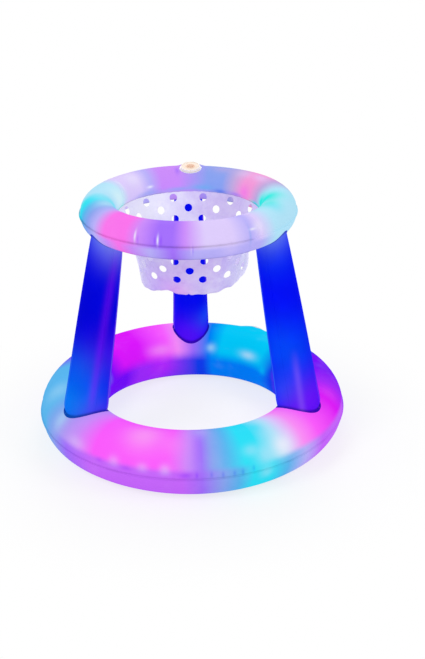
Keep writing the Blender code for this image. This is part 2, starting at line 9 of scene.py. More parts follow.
import bmesh
import bpy
import numpy as np
from bpy.props import FloatProperty, FloatVectorProperty, IntProperty, PointerProperty
from mathutils import Matrix, Vector


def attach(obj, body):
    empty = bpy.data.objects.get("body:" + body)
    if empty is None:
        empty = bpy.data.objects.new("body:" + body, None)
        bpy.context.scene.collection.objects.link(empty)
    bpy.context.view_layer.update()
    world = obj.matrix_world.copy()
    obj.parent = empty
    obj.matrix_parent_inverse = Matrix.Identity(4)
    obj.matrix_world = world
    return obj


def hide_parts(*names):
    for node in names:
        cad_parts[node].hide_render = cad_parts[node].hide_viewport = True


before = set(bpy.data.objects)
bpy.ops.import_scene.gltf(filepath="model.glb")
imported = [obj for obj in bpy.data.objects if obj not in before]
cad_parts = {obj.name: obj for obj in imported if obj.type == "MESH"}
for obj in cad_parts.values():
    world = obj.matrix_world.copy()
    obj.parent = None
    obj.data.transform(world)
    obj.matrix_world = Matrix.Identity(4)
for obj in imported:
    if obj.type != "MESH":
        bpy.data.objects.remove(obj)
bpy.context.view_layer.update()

bl_info = {
    "name": "Floating basketball hoop",
    "version": (1, 0, 0),
    "blender": (4, 5, 0),
    "location": "3D View > Sidebar > Hoop",
    "description": "Builds the looks of an inflatable hoop around its CAD model",
    "category": "Object",
}

MM = 0.001
TAU = math.tau


def wrapped(angle):
    """An angle brought to between minus pi and pi."""
    return (angle + math.pi) % TAU - math.pi


def bell(gap):
    """1 where the gap is nought, and e to the power of minus its square elsewhere."""
    return np.exp(-(gap**2))


def around(count):
    """Angles evenly round a turn."""
    return np.linspace(0, TAU, count, endpoint=False)


def stacked(*parts):
    """Points from arrays of their coordinates, spread to one shape."""
    return np.stack(np.broadcast_arrays(*parts), -1)


# Sizes that repeat the CAD model's


class Ring:
    """One inflated ring: an elliptical tube round the Z axis."""

    def __init__(self, name, radius, half_width, half_height, middle, inner_seam, light, valve):
        self.name = name
        self.radius = radius
        self.half_width = half_width
        self.half_height = half_height
        self.middle = middle
        self.inner_seam = math.radians(inner_seam)
        self.light = self.seat(*light)
        self.valve = self.seat(*valve)

    def outward(self, section):
        """The ellipse's unit normal at a section angle, as (across, up)."""
        across = np.cos(section) / self.half_width
        up = np.sin(section) / self.half_height
        length = np.hypot(across, up)
        return across / length, up / length

    def point(self, azimuth, section, lift=0.0):
        """The ellipse's point at a section angle, moved out by lift and turned by azimuth."""
        across, up = self.outward(section)
        reach = self.radius + self.half_width * np.cos(section) + lift * across
        height = self.middle + self.half_height * np.sin(section) + lift * up
        return stacked(reach * np.cos(azimuth), reach * np.sin(azimuth), height)

    def depth(self, points, lift):
        """Below zero inside the tube grown by lift: the ellipse's equation in the section."""
        across = np.hypot(points[..., 0], points[..., 1]) - self.radius
        up = points[..., 2] - self.middle
        wide, high = self.half_width + lift, self.half_height + lift
        return (across / wide) ** 2 + (up / high) ** 2 - 1

    def seat(self, azimuth, section):
        """A frame on the film at these angles in degrees: columns x, y, outward and place."""
        a, s = math.radians(azimuth), math.radians(section)
        across, up = self.outward(s)
        side = np.array((-math.sin(a), math.cos(a), 0))
        normal = np.array((across * math.cos(a), across * math.sin(a), up))
        made = np.eye(4)
        made[:3, :3] = np.stack((np.cross(side, normal), side, normal), 1)
        made[:3, 3] = self.point(a, s)
        return made


BASE = Ring("base", 0.334, 0.086, 0.079, 0.07748, 180, (60, 34), (118, 30))
RIM = Ring("rim", 0.235, 0.047, 0.0465, 0.640, 194, (88, 101), (128, 24))
RINGS = (BASE, RIM)


# The legs' sections, in millimetres: half depth and half width at the foot, what each
# loses up to the head, the bulge at mid length and the flare of the foot.
LEG_DEPTH, LEG_DEPTH_LOSS, LEG_WIDTH, LEG_WIDTH_LOSS = 59.5, 19.0, 52.5, 16.5
LEG_BULGE, FOOT_FLARE, FLARE_END = 3, 4.5, 0.36
# The draw at a leg's foot: depth all round, more on the outer side, its spread in degrees
# and its reach up the leg.
TUCK, OUTER_TUCK, TUCK_SPREAD, TUCK_REACH = 2, 7, 50, 26


class Leg:
    """One leg: a flattened tube that tapers from the base's middle to the rim's."""

    def __init__(self, name, azimuth):
        self.name = name
        foot = np.array((BASE.radius + 6 * MM, 0, BASE.middle))
        head = np.array((RIM.radius - 3 * MM, 0, RIM.middle))
        self.length = np.linalg.norm(head - foot)
        up = (head - foot) / self.length
        side = np.array((0.0, 1.0, 0.0))
        c, s = math.cos(math.radians(azimuth)), math.sin(math.radians(azimuth))
        turn = np.array(((c, -s, 0), (s, c, 0), (0, 0, 1)))
        self.axes = turn @ np.stack((np.cross(side, up), side, up), 1)
        self.foot = turn @ foot

    def section(self, share):
        """Half the depth and half the width: a straight taper, a faint bulge, a flared foot."""
        extra = LEG_BULGE * MM * 4 * share * (1 - share)
        extra = extra + FOOT_FLARE * MM * np.maximum(0, 1 - share / FLARE_END) ** 2
        depth = (LEG_DEPTH - LEG_DEPTH_LOSS * share) * MM + extra
        return depth, (LEG_WIDTH - LEG_WIDTH_LOSS * share) * MM + extra

    def tuck(self, angle, gap):
        """The film's draw inwards at the base's weld: a bell round the leg's outer side,
        as the square of how near the weld is."""
        depth = (TUCK + OUTER_TUCK * bell(wrapped(angle) / math.radians(TUCK_SPREAD))) * MM
        return -depth * np.maximum(0, 1 - gap / (TUCK_REACH * MM)) ** 2

    def skin(self, angle, share, grow=0.0):
        """The ellipse's point at an angle and a share of the length, grown outwards."""
        depth, width = self.section(share)
        deep, wide = (depth + grow) * np.cos(angle), (width + grow) * np.sin(angle)
        local = stacked(deep, wide, share * self.length)
        return local @ self.axes.T + self.foot

    def landing(self, ring, angle, grow, lift):
        """The share at which the grown outline meets the ring's grown tube, by halving."""
        within = np.full(np.shape(angle), 0.0 if ring is BASE else 1.0)
        beyond = np.full(np.shape(angle), 0.5)
        for _ in range(40):
            middle = (within + beyond) / 2
            is_in = ring.depth(self.skin(angle, middle, grow), lift) < 0
            within = np.where(is_in, middle, within)
            beyond = np.where(is_in, beyond, middle)
        return (within + beyond) / 2


LEGS = (Leg("rear", 90), Leg("left", 210), Leg("right", 330))


# What a user would change


def screen(red, green, blue):
    """Screen numbers from 0 to 255 as the linear light that they stand for."""
    values = np.array((red, green, blue)) / 255
    low, high = values / 12.92, ((values + 0.055) / 1.055) ** 2.4
    return tuple(float(v) for v in np.where(values <= 0.04045, low, high))


def glow_colour(name, description, red, green, blue):
    """A colour property from the 0 to 255 numbers of a screen colour."""
    return FloatVectorProperty(
        name=name, description=description, subtype="COLOR", size=3, min=0.0, max=1.0,
        default=screen(red, green, blue),
    )


def film_size(name, description, default, low, high):
    """A length property, from millimetres."""
    return FloatProperty(
        name=name, description=description, default=default * MM, min=low * MM,
        max=high * MM, unit="LENGTH", precision=5,
    )


class HoopGlow(bpy.types.PropertyGroup):
    """The colours that the light chips give the film, with painted highlights, reflections
    and shade, and those of the plain pieces.
    """

    cyan: glow_colour("Cyan", "Cyan chips", 2, 208, 249)
    aqua: glow_colour("Aqua", "Cyan chips close to the film", 46, 226, 247)
    teal: glow_colour("Teal", "Blue-green chips", 8, 240, 226)
    ice: glow_colour("Ice", "Cyan light, washed out", 180, 229, 250)
    sky: glow_colour("Sky", "Pale blue light", 90, 184, 240)
    azure: glow_colour("Azure", "Blue light on the base's inner wall", 0, 130, 246)
    deep: glow_colour("Deep blue", "Deep blue light", 18, 64, 234)
    periwinkle: glow_colour("Periwinkle", "Blue and violet light together", 138, 164, 240)
    violet: glow_colour("Violet", "Violet chips", 122, 14, 250)
    plum: glow_colour("Plum", "Violet and magenta light together", 166, 44, 252)
    purple: glow_colour("Purple", "Violet and pink light together", 200, 104, 252)
    amethyst: glow_colour("Amethyst", "Violet light, a little washed out", 164, 112, 251)
    orchid: glow_colour("Orchid", "Violet light, more washed out", 204, 142, 250)
    haze: glow_colour("Haze", "Violet light at the film's far side", 186, 178, 250)
    lilac: glow_colour("Lilac", "White light with a little violet", 222, 205, 252)
    mauve: glow_colour("Mauve", "Grey violet light between two chips", 194, 172, 224)
    magenta: glow_colour("Magenta", "Magenta chips", 224, 24, 250)
    pink: glow_colour("Pink", "Pink chips", 252, 92, 253)
    blush: glow_colour("Blush", "Pink light, washed out", 252, 146, 247)
    rose: glow_colour("Rose", "Warm pink chips", 250, 116, 236)
    petal: glow_colour("Petal", "Warm pink light, washed out", 246, 156, 218)
    frost: glow_colour("Frost", "Cyan light right over a chip", 222, 250, 252)
    # White gives painted highlights and glints on the rings' film, a faint pale cloud, painted
    # light on the net and a painted highlight round the lids' edges.
    white: glow_colour("White", "Film right over a chip", 240, 240, 253)
    leg: glow_colour("Leg", "Blue film of the legs", 3, 12, 248)
    # Night is painted shade on the legs, where less of the rings' light reaches.
    night: glow_colour("Night", "Blue film away from both rings", 0, 0, 200)
    dusk: glow_colour("Dusk", "Blue film at a weld", 8, 40, 168)
    net: glow_colour("Net", "Film of the net", 214, 200, 247)
    ivory: glow_colour("Ivory", "Plastic of the lights", 234, 216, 198)
    salmon: glow_colour("Salmon", "Rubber of the light's button", 226, 178, 148)
    vinyl: glow_colour("Vinyl", "Soft milky vinyl of collars and valves", 226, 226, 240)


class HoopForm(bpy.types.PropertyGroup):
    """Sizes of the film's details."""

    film: film_size("Film", "Thickness of the film", 0.4, 0.1, 2)
    seam_lip: film_size("Seam lip", "How far a weld's lip stands out", 2.6, 0, 5)
    pucker: film_size("Pucker", "Depth of the puckers along the seams", 1.5, 0, 4)
    net_fold: film_size("Net folds", "Depth of the net's creases", 1.9, 0, 4)
    hole_radius: film_size("Hole radius", "Radius of the net's holes", 10.5, 4, 13)
    ring_columns: IntProperty(
        name="Steps round a ring", description="How finely a ring is divided",
        default=600, min=90, max=700,
    )


def hue(name):
    """One of the scene's glow colours."""
    return tuple(getattr(bpy.context.scene.hoop_glow, name))


# Meshes from arrays


def grid_faces(rows, columns, wrap_rows=True, wrap_columns=True):
    """Quads of a grid of points, numbered row by row; a wrapped side closes on itself."""
    r = np.arange(rows if wrap_rows else rows - 1)
    c = np.arange(columns if wrap_columns else columns - 1)
    r, c = np.meshgrid(r, c, indexing="ij")
    up, on = (r + 1) % rows, (c + 1) % columns
    corners = (r * columns + c, r * columns + on, up * columns + on, up * columns + c)
    return np.stack(corners, -1).reshape(-1, 4)


def joined(parts):
    """Several (points, faces) pairs as one."""
    points, faces, start = [], [], 0
    for some_points, some_faces in parts:
        some_points = some_points.reshape(-1, 3)
        points.append(some_points)
        faces.append(some_faces + start)
        start += len(some_points)
    return np.concatenate(points), np.concatenate(faces)


def placed(points, seat):
    """Points in a seat's frame, moved to where the seat is."""
    return points @ seat[:3, :3].T + seat[:3, 3]


def seen_from(points, seat):
    """Points in the frame of a seat."""
    return (points - seat[:3, 3]) @ seat[:3, :3]


def rounded(outline, radius, steps=4, closed=True):
    """An outline whose corners become quadratic curves that start radius before them."""
    outline = np.asarray(outline, float)

    def towards(other):
        gap = other - outline
        length = np.maximum(np.linalg.norm(gap, axis=1, keepdims=True), 1e-9)
        return outline + gap / length * np.minimum(radius, 0.45 * length)

    start, end = towards(np.roll(outline, 1, 0)), towards(np.roll(outline, -1, 0))
    t = np.linspace(0, 1, steps)[:, None, None]
    curve = (1 - t) ** 2 * start + 2 * t * (1 - t) * outline + t**2 * end
    curve = curve.transpose(1, 0, 2)
    if closed:
        return curve.reshape(-1, 2)
    return np.concatenate((outline[:1], curve[1:-1].reshape(-1, 2), outline[-1:]))


def turned(profile, steps, closed=True):
    """A surface of revolution: each (radius, height) point goes round the axis."""
    angle = around(steps)
    reach, height = profile[:, :1], profile[:, 1:]
    points = stacked(reach * np.cos(angle), reach * np.sin(angle), height)
    return points, grid_faces(len(profile), steps, closed)


def carried(path, out, side, outline, loop):
    """A closed outline carried along a path: path + outline x * out + outline y * side."""
    outline = np.asarray(outline, float)
    points = path[:, None] + outline[:, :1] * out[:, None] + outline[:, 1:] * side[:, None]
    faces = grid_faces(len(path), len(outline), loop)
    return points, faces


def make_mesh(name, points, faces, closed=True):
    """A mesh of these quads. Points at one place are merged, and a closed one faces out."""
    mesh = bpy.data.meshes.new(name)
    mesh.from_pydata(points.reshape(-1, 3).tolist(), [], faces.tolist())
    shape = bmesh.new()
    shape.from_mesh(mesh)
    bmesh.ops.remove_doubles(shape, verts=shape.verts, dist=1e-6)
    if closed:
        bmesh.ops.holes_fill(shape, edges=shape.edges, sides=0)
        bmesh.ops.recalc_face_normals(shape, faces=shape.faces)
    shape.to_mesh(mesh)
    shape.free()
    mesh.shade_smooth()
    return mesh


def add_piece(name, shape, paint, replaced=(), body="float", closed=True):
    """A finished piece of (points, faces) at the origin, on its body, with its paint."""
    obj = bpy.data.objects.new(name, make_mesh(name, *shape, closed))
    bpy.context.scene.collection.objects.link(obj)
    obj.data.materials.append(paint.material)
    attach(obj, body)
    if replaced:
        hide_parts(*replaced)
    return obj


def add_wall(obj, thickness, offset=-1.0):
    """Gives a film its thickness, inwards unless offset says otherwise."""
    wall = obj.modifiers.new("wall", "SOLIDIFY")
    wall.thickness = thickness
    wall.offset = offset


# Materials


class Socket:
    """A socket of a tree's nodes, on which arithmetic adds Math nodes."""

    def __init__(self, nodes, socket):
        self.nodes = nodes
        self.socket = socket

    def __add__(self, other):
        return self.nodes.math("ADD", self, other)

    def __sub__(self, other):
        return self.nodes.math("SUBTRACT", self, other)

    def __rsub__(self, other):
        return self.nodes.math("SUBTRACT", other, self)

    def __mul__(self, other):
        return self.nodes.math("MULTIPLY", self, other)

    def __truediv__(self, other):
        return self.nodes.math("DIVIDE", self, other)

    def __pow__(self, other):
        return self.nodes.math("POWER", self, other)

    __radd__ = __add__
    __rmul__ = __mul__


class Nodes:
    """A tree of nodes, and the nodes that are added to it."""

    def __init__(self, tree):
        self.tree = tree

    def fill(self, entry, value):
        """Links a socket to an input, or sets its number or colour."""
        if isinstance(value, Socket):
            self.tree.links.new(value.socket, entry)
        elif entry.type == "RGBA" and len(value) == 3:
            entry.default_value = (*value, 1.0)
        else:
            entry.default_value = value

    def node(self, kind, settings=None, sockets=None, output=0):
        """Any node: its settings first, then its sockets' values or links."""
        made = self.tree.nodes.new(f"ShaderNode{kind}")
        for name, value in (settings or {}).items():
            if name == "stops":
                ramp = made.color_ramp
                for i, (where, colour) in enumerate(value):
                    stop = ramp.elements[i] if i < 2 else ramp.elements.new(where)
                    stop.position = where
                    stop.color = (*colour, 1.0)
            else:
                setattr(made, name, value)
        for key, value in (sockets or {}).items():
            self.fill(made.inputs[key], value)
        return Socket(self, made.outputs[output])

    def math(self, operation, *values):
        """A Math node."""
        return self.node("Math", {"operation": operation}, dict(enumerate(values)))

    def vector(self, operation, *values, output="Value"):
        """A Vector Math node."""
        return self.node(
            "VectorMath", {"operation": operation}, dict(enumerate(values)), output
        )

    def bell(self, gap):
        """1 where the gap is nought, and e to the power of minus its square elsewhere."""
        return self.math("POWER", 1 / math.e, gap**2)

    def hypot(self, x, y):
        """The square root of the sum of two squares."""
        return self.math("SQRT", x * x + y * y)

    def spot(self):
        """Object coordinates."""
        return self.node("TexCoord", output="Object")

    def parts(self, vector):
        """The x, y and z of a vector."""
        outputs = self.node("SeparateXYZ", sockets={"Vector": vector}).socket.node.outputs
        return [Socket(self, output) for output in outputs]

    def noise(self, spot, scale, detail=2.0, roughness=0.5):
        """Soft noise from 0 to 1, with scale in cells a metre."""
        sockets = {"Vector": spot, "Scale": scale, "Detail": detail, "Roughness": roughness}
        return self.node("TexNoise", sockets=sockets, output="Fac")

    def between(self, value, low, high, to_low=0.0, to_high=1.0):
        """A smooth step of value from low to high."""
        return self.node(
            "MapRange", {"interpolation_type": "SMOOTHSTEP"},
            {"Value": value, "From Min": low, "From Max": high, "To Min": to_low,
             "To Max": to_high},
        )

    def mix(self, share, first, second):
        """A colour between two."""
        sockets = {0: share, 6: first, 7: second}
        return self.node("Mix", {"data_type": "RGBA"}, sockets, output=2)

    def scaled(self, colour, share):
        """A colour made darker or lighter."""
        sockets = {0: colour, "Scale": share}
        return self.node("VectorMath", {"operation": "SCALE"}, sockets)

    def near(self, spot, centre, size):
        """1 at a point, falling off as a bell over size."""
        return self.bell(self.vector("DISTANCE", spot, centre) / size)

    def patch(self, spot, seat, round_size, along_size):
        """1 at a seat, falling off as a bell of one size round its ring and one across it."""
        turn = Matrix(seat[:3, :3].tolist()).to_euler()
        local = self.node(
            "Mapping", {"vector_type": "TEXTURE"},
            {"Vector": spot, "Location": seat[:3, 3], "Rotation": tuple(turn),
             "Scale": (along_size, round_size, along_size)},
        )
        return self.bell(self.vector("LENGTH", local))


class Paint(Nodes):
    """A material that ends in one Principled BSDF, whose fixed numbers are given at once."""

    def __init__(self, name, **fixed):
        self.material = bpy.data.materials.new(name)
        self.material.use_nodes = True
        super().__init__(self.material.node_tree)
        self.shader = self.tree.nodes["Principled BSDF"]
        self.set(**fixed)

    def set(self, **values):
        """Sets or links the shader's own sockets, by their names in small letters."""
        for words, value in values.items():
            name = words.replace("_", " ").title().replace("Ior", "IOR")
            self.fill(self.shader.inputs[name], value)

    def bump(self, height, distance):
        """A normal from a height pattern."""
        self.set(normal=self.node("Bump", sockets={"Height": height, "Distance": distance}))

    def finish(self, colour, base, cloud, gloss, skin, depth):
        """Shows a colour as light and, by the share base, as paint. The roughness goes from
        the first to the second of gloss with the cloud, and the skin is this deep."""
        self.set(
            emission_color=colour, base_color=self.scaled(colour, base),
            roughness=self.between(cloud, 0.3, 0.7, *gloss),
        )
        self.bump(skin, depth)


MOULD_CLOUD, MOULD_GRAIN, MOULD_DEPTH = 45.0, 900.0, 0.03 * MM


def plain_paint(name, colour, roughness, shift=0.10, lit=0.0, tint=None, **fixed):
    """A moulded finish: its colour clouded a little, its gloss uneven, its skin grained.

    The share lit of its colour is a painted glow, which evens out its shading.
    """
    paint = Paint(name, emission_strength=lit, **fixed)
    spot = paint.spot()
    cloud = paint.noise(spot, MOULD_CLOUD, 3.0)
    shown = paint.mix(cloud, tuple(v * (1 - shift) for v in colour), tuple(colour))
    if tint:
        shown = tint(paint, spot, shown)
    gloss = (roughness - 0.05, roughness + 0.05)
    paint.finish(shown, 1 - lit, cloud, gloss, paint.noise(spot, MOULD_GRAIN), MOULD_DEPTH)
    return paint


# Which light stands where round each ring: (azimuth in degrees, colour).
CROWN_GLOW = {
    "base": (
        (6, "violet"), (19, "violet"), (26, "deep"), (40, "cyan"), (70, "cyan"), (79, "azure"),
        (89, "amethyst"), (99, "blush"), (106, "pink"), (124, "magenta"), (140, "magenta"),
        (154, "violet"), (168, "sky"), (196, "sky"), (207, "periwinkle"), (222, "orchid"),
        (232, "pink"), (261, "pink"), (268, "orchid"), (272.5, "amethyst"),
        (276.5, "periwinkle"), (282, "sky"), (288, "aqua"), (294, "aqua"), (303, "ice"),
        (307, "lilac"), (313, "blush"), (322, "pink"), (340, "magenta"), (353, "plum"),
    ),
    "rim": (
        (4, "ice"), (18, "mauve"), (30, "petal"), (40, "petal"), (51, "mauve"),
        (61, "periwinkle"), (74, "periwinkle"), (98, "orchid"), (112, "orchid"), (122, "haze"),
        (132, "lilac"), (148, "lilac"), (158, "ice"), (176, "ice"), (190, "aqua"), (197, "sky"),
        (205, "periwinkle"), (213, "haze"), (222, "rose"), (236, "rose"), (244, "orchid"),
        (254, "amethyst"), (262, "amethyst"), (268, "orchid"), (278, "lilac"), (292, "lilac"),
        (303, "haze"), (309, "lilac"), (320, "ice"), (345, "ice"),
    ),
}
# The lower panel's colours likewise: the chips' light there, partly darkened and deepened as
# painted shade.
UNDER_GLOW = {
    "base": (
        (4, "violet"), (24, "deep"), (38, "azure"), (62, "azure"), (76, "azure"), (82, "deep"),
        (86, "deep"), (110, "plum"), (128, "plum"), (140, "violet"), (160, "violet"),
        (176, "sky"), (198, "sky"), (207, "periwinkle"), (218, "amethyst"), (231, "purple"),
        (266, "purple"), (273, "amethyst"), (280, "periwinkle"), (286, "sky"), (291, "aqua"),
        (298, "aqua"), (305, "sky"), (314, "haze"), (324, "purple"), (348, "purple"),
    ),
    "rim": (
        (4, "teal"), (20, "teal"), (34, "petal"), (50, "mauve"), (62, "periwinkle"),
        (92, "orchid"), (124, "haze"), (150, "lilac"), (160, "ice"), (176, "aqua"),
        (190, "sky"), (204, "periwinkle"), (214, "haze"), (224, "orchid"), (232, "rose"),
        (240, "orchid"), (250, "haze"), (262, "amethyst"), (273, "haze"), (309, "haze"),
        (321, "ice"), (345, "ice"),
    ),
}
# Where the two rows meet, as shares of the half height above the seams: on the ring's
# inner side from the first to the second, and on its outer side likewise.
MEETING = {
    "base": ((0.46, -0.04), (0.40, 0.16)),
    "rim": ((0.02, -0.28), (0.02, -0.28)),
}
# The azimuths between which the outer seam's shade fades away.
WELD_FADE = {"base": (300, 330), "rim": (301, 304)}
# Soft spots over the rows above: more of the chips' light, painted highlights and glints,
# and painted shade in creases, between puckers and along the rim's inner seam. Columns:
# azimuth, section angle, size round the ring and across it in millimetres, share and colour.
SPOTS = {
    "base": (
        (249.5, 76, 48, 42, 1.0, "blush"), (296, 28, 26, 26, 0.50, "ice"),
        (304, 34, 28, 26, 0.75, "white"), (297, 86, 20, 20, 0.60, "aqua"),
        (291, 42, 20, 14, 0.35, "ice"), (110, 150, 36, 16, 0.75, "blush"),
        (110, 178, 40, 40, 0.30, "magenta"), (50, 151, 24, 11, 0.80, "ice"),
        (77, 150, 13, 12, 0.60, "ice"), (35, 170, 14, 14, 0.55, "cyan"),
        (190, 66, 40, 40, 0.35, "ice"),
        (223, 25, 34, 15, 0.34, "lilac"), (235, 13, 12, 6, 0.35, "plum"),
        (241, 19, 15, 14, 0.32, "lilac"), (252, 18, 15, 12, 0.32, "lilac"),
        (260, 18, 14, 14, 0.42, "lilac"), (246, 11, 14, 6, 0.35, "plum"),
        (267, 8, 16, 7, 0.35, "violet"), (273, 100, 20, 28, 0.55, "haze"),
        (271, 8, 4, 8, 0.40, "violet"), (276, 8, 4, 8, 0.30, "deep"),
        (280, 6, 4, 8, 0.35, "deep"), (284, 6, 4, 8, 0.30, "deep"),
        (287, 6, 4, 8, 0.30, "deep"), (291, 9, 4, 8, 0.25, "deep"),
        (209, 44, 24, 34, 0.45, "ice"), (296, -6, 18, 16, 0.35, "ice"),
        (345, 56, 26, 30, 0.22, "pink"), (262, 64, 32, 32, 0.35, "blush"),
    ),
    "rim": (
        (187, 56, 22, 26, 0.70, "aqua"), (186, 40, 16, 14, 0.35, "teal"),
        (160, 197, 13, 9, 0.90, "teal"),
        (163, 164, 34, 34, 0.80, "frost"), (352, 134, 30, 40, 1.0, "teal"),
        (2, 164, 28, 22, 1.0, "teal"), (194, 138, 20, 20, 0.75, "ice"),
        (334, 102, 32, 28, 0.60, "teal"), (345, 112, 20, 20, 0.50, "teal"),
        (330, 76, 22, 22, 0.30, "aqua"), (20, 200, 14, 12, 0.70, "sky"),
        (37, 172, 18, 18, 0.60, "rose"), (308, 36, 14, 14, 0.40, "white"),
        (228, 26, 16, 16, 0.70, "rose"), (136, 125, 22, 22, 0.35, "white"),
        (291, -20, 24, 24, 0.40, "lilac"), (123, 165, 9, 3.5, 0.85, "white"),
        (304, 31, 9, 3, 0.75, "white"), (242.2, 24, 2.4, 13, 0.80, "white"),
        (243.9, 14, 2.6, 11, 0.30, "violet"), (254.4, 18, 2.4, 12, 0.85, "white"),
        (252.9, 16, 2.4, 11, 0.35, "violet"), (256.1, 16, 2.8, 12, 0.35, "violet"),
        (271, -12, 1.8, 12, 0.40, "lilac"), (271.8, -12, 1.6, 12, 0.30, "violet"),
        (302, 12, 3, 24, 0.50, "periwinkle"), (150, 126, 3, 18, 0.40, "white"),
        (97.8, 116, 6, 14, 0.70, "amethyst"),
        (200, 108, 30, 30, 0.70, "ice"), (187, 105, 24, 24, 0.30, "ice"),
        (30, 100, 30, 16, 0.55, "lilac"), (46, 106, 26, 16, 0.40, "lilac"),
        (63, 102, 40, 16, 0.50, "mauve"),
        (125, 185, 40, 7, 0.45, "periwinkle"), (98, 185, 36, 6, 0.45, "sky"),
        (79, 180, 34, 9, 0.50, "sky"), (62, 188, 18, 5, 0.45, "deep"),
        (47, 189, 22, 6, 0.60, "amethyst"),
    ),
}


# The glow of the rings' film, the painted glow of the legs' film, and how much of its
# colour is paint.
FILM_LIGHT, RING_BASE, LEG_BASE = 0.64, 0.36, 0.38
# Half the way over which the rows' meeting goes from its heights on the inner side to those
# on the outer side, and half the height of the outer seam's shade.
TURN_OVER, SEAM_SHADE = 20 * MM, 2.4 * MM
# How dark the outer seam is, and the underside's painted shade and the white cloud: between
# which values each changes, and from what to what.
SEAM_DARK, UNDERSIDE_SHADE, WHITE_CLOUD = 0.22, (-0.92, -0.68, 0.74, 1.0), (0.5, 0.85, 0.0, 0.05)
# The least and the most roughness of the rings' film and of the legs', and their skins.
RING_GLOSS, LEG_GLOSS, RING_SKIN, LEG_SKIN = (0.26, 0.40), (0.16, 0.28), 0.2 * MM, 0.15 * MM


def film_paint(ring, word="film", shade=1.0):
    """Clear film with coloured light behind it.

    A ramp round the ring gives the colour of the upper panel and another that of the
    lower one, whose chips' light is partly darkened as painted shade. Spots follow: more of
    the chips' light, painted highlights and glints, and painted shade of creases, puckers and
    the rim's inner seam. Then a finer line of shade along the outer seam, and painted shade
    on the underside.
    """
    paint = Paint(
        f"{ring.name}_lit_{word}", specular_ior_level=0.0, coat_weight=0.012,
        coat_roughness=0.12, emission_strength=FILM_LIGHT,
    )
    spot = paint.spot()
    x, y, z = paint.parts(spot)
    turn = paint.math("FRACT", paint.math("ARCTAN2", y, x) / TAU + 1.0)
    up = (z - ring.middle) / ring.half_height

    def ramp(rows):
        """A colour ramp on the turn, with its two ends alike."""
        (first, after), (last, before) = rows[0], rows[-1]
        share = (360 - last) / (first + 360 - last)
        start, end = np.array(hue(after)), np.array(hue(before))
        edge = tuple(end + (start - end) * share)
        stops = [(0.0, edge), (1.0, edge)]
        stops += [(azimuth / 360, hue(name)) for azimuth, name in rows]
        return paint.node("ValToRGB", {"stops": stops}, {"Fac": turn})

    away = paint.hypot(x, y)
    sides = away, ring.radius - TURN_OVER, ring.radius + TURN_OVER
    inner, outer = MEETING[ring.name]
    start, end = (paint.between(*sides, *pair) for pair in zip(inner, outer))
    low = paint.between(up, start, end)
    colour = paint.mix(low, ramp(CROWN_GLOW[ring.name]), ramp(UNDER_GLOW[ring.name]))
    for azimuth, section, wide, long, share, name in SPOTS[ring.name]:
        weight = paint.patch(spot, ring.seat(azimuth, section), wide * MM, long * MM)
        colour = paint.mix(weight * share, colour, hue(name))
    cloud = paint.noise(spot, 9.0, 3.0, 0.6)
    colour = paint.mix(paint.between(cloud, *WHITE_CLOUD), colour, hue("white"))
    seam = paint.bell((z - ring.middle) / SEAM_SHADE)
    seam = seam * paint.between(away, ring.radius, ring.radius + ring.half_width / 2)
    fade = paint.between(turn, *(azimuth / 360 for azimuth in WELD_FADE[ring.name]))
    seam = seam * (1.0 - fade)
    if shade < 1:
        shade = paint.between(paint.noise(spot, 15.0), 0.35, 0.6, shade, (shade + 1) / 2)
        shade = paint.math("MAXIMUM", shade, fade)
    colour = paint.scaled(colour, (1.0 - seam * SEAM_DARK) if word == "film" else shade)
    colour = paint.scaled(colour, paint.between(up, *UNDERSIDE_SHADE))
    gloss, skin = paint.noise(spot, 14.0), paint.noise(spot, 40.0, 3.0)
    paint.finish(colour, RING_BASE, gloss, RING_GLOSS, skin, RING_SKIN)
    return paint


# Film rings


def seam_gaps(section, ring):
    """Distance along the section to the outer and the inner seam."""
    mean = (ring.half_width + ring.half_height) / 2
    outer = mean * np.abs(wrapped(section))
    return outer, mean * np.abs(wrapped(section - ring.inner_seam))


# Short dents and folds of the film: azimuth, section angle, size round the ring and across
# it, and height, in degrees and millimetres.
CREASES = {
    "base": (
        (224, 20, 5, 22, 1.2), (231, 24, 4, 20, -1.0), (239, 22, 5, 24, 1.3),
        (246, 18, 4, 20, -1.1), (252, 22, 5, 22, 1.2), (266, 14, 4, 14, -0.9),
        (272, 12, 4, 14, 0.9), (278, 12, 4, 14, -0.9), (101, 160, 5, 22, -1.2),
        (76, 160, 5, 20, 1.1), (128, 168, 5, 22, -1.2), (52, 168, 5, 24, -1.1),
    ),
    "rim": (
        (238, 32, 3.0, 15, -1.3), (241, 32, 3.0, 15, 1.2), (250, 30, 3.0, 14, -1.2),
        (253, 30, 3.0, 14, 1.2), (262, 36, 3.2, 12, -0.8), (288, 34, 3.4, 16, 0.9),
        (318, 40, 4.0, 18, -1.1), (323, 44, 4.0, 18, 1.0), (146, 140, 3.4, 18, 1.2),
        (142, 136, 3.4, 18, -1.1), (100, 118, 3.6, 20, -1.6), (104, 124, 3.4, 16, 1.0),
        (78, 122, 3.6, 20, -1.4), (74, 128, 3.4, 16, 0.9), (118, 152, 3.4, 18, -0.5),
        (60, 150, 3.4, 18, -0.8), (40, 155, 3.4, 18, 0.9), (20, 152, 3.4, 18, -0.9),
    ),
}
# Welds that divide a ring across: azimuth, its bow in degrees, and depth in millimetres.
CROSS_WELDS = {
    "base": ((176, 3.0, 1.3), (350, -3.0, 1.3)), "rim": ((304, 5.0, 1.5), (154, -6.0, 1.5)),
}


# Along the seams, in millimetres: the dip's depth and reach, the puckers' spacing on the
# outer and the inner seam, and the least and the most of their widths and lengths.
DIP, DIP_REACH, OUTER_SPACING, INNER_SPACING = 1.1, 5, 26, 18
PUCKER_WIDTHS, PUCKER_LENGTHS = (3.2, 5.5), (7, 26)
# A cross weld's half width, how far off its two shoulders are, and their half width.
CROSS_HALF, SHOULDER, SHOULDER_HALF = 3.2, 7, 4
SLOW_WAVE = 0.45 * MM


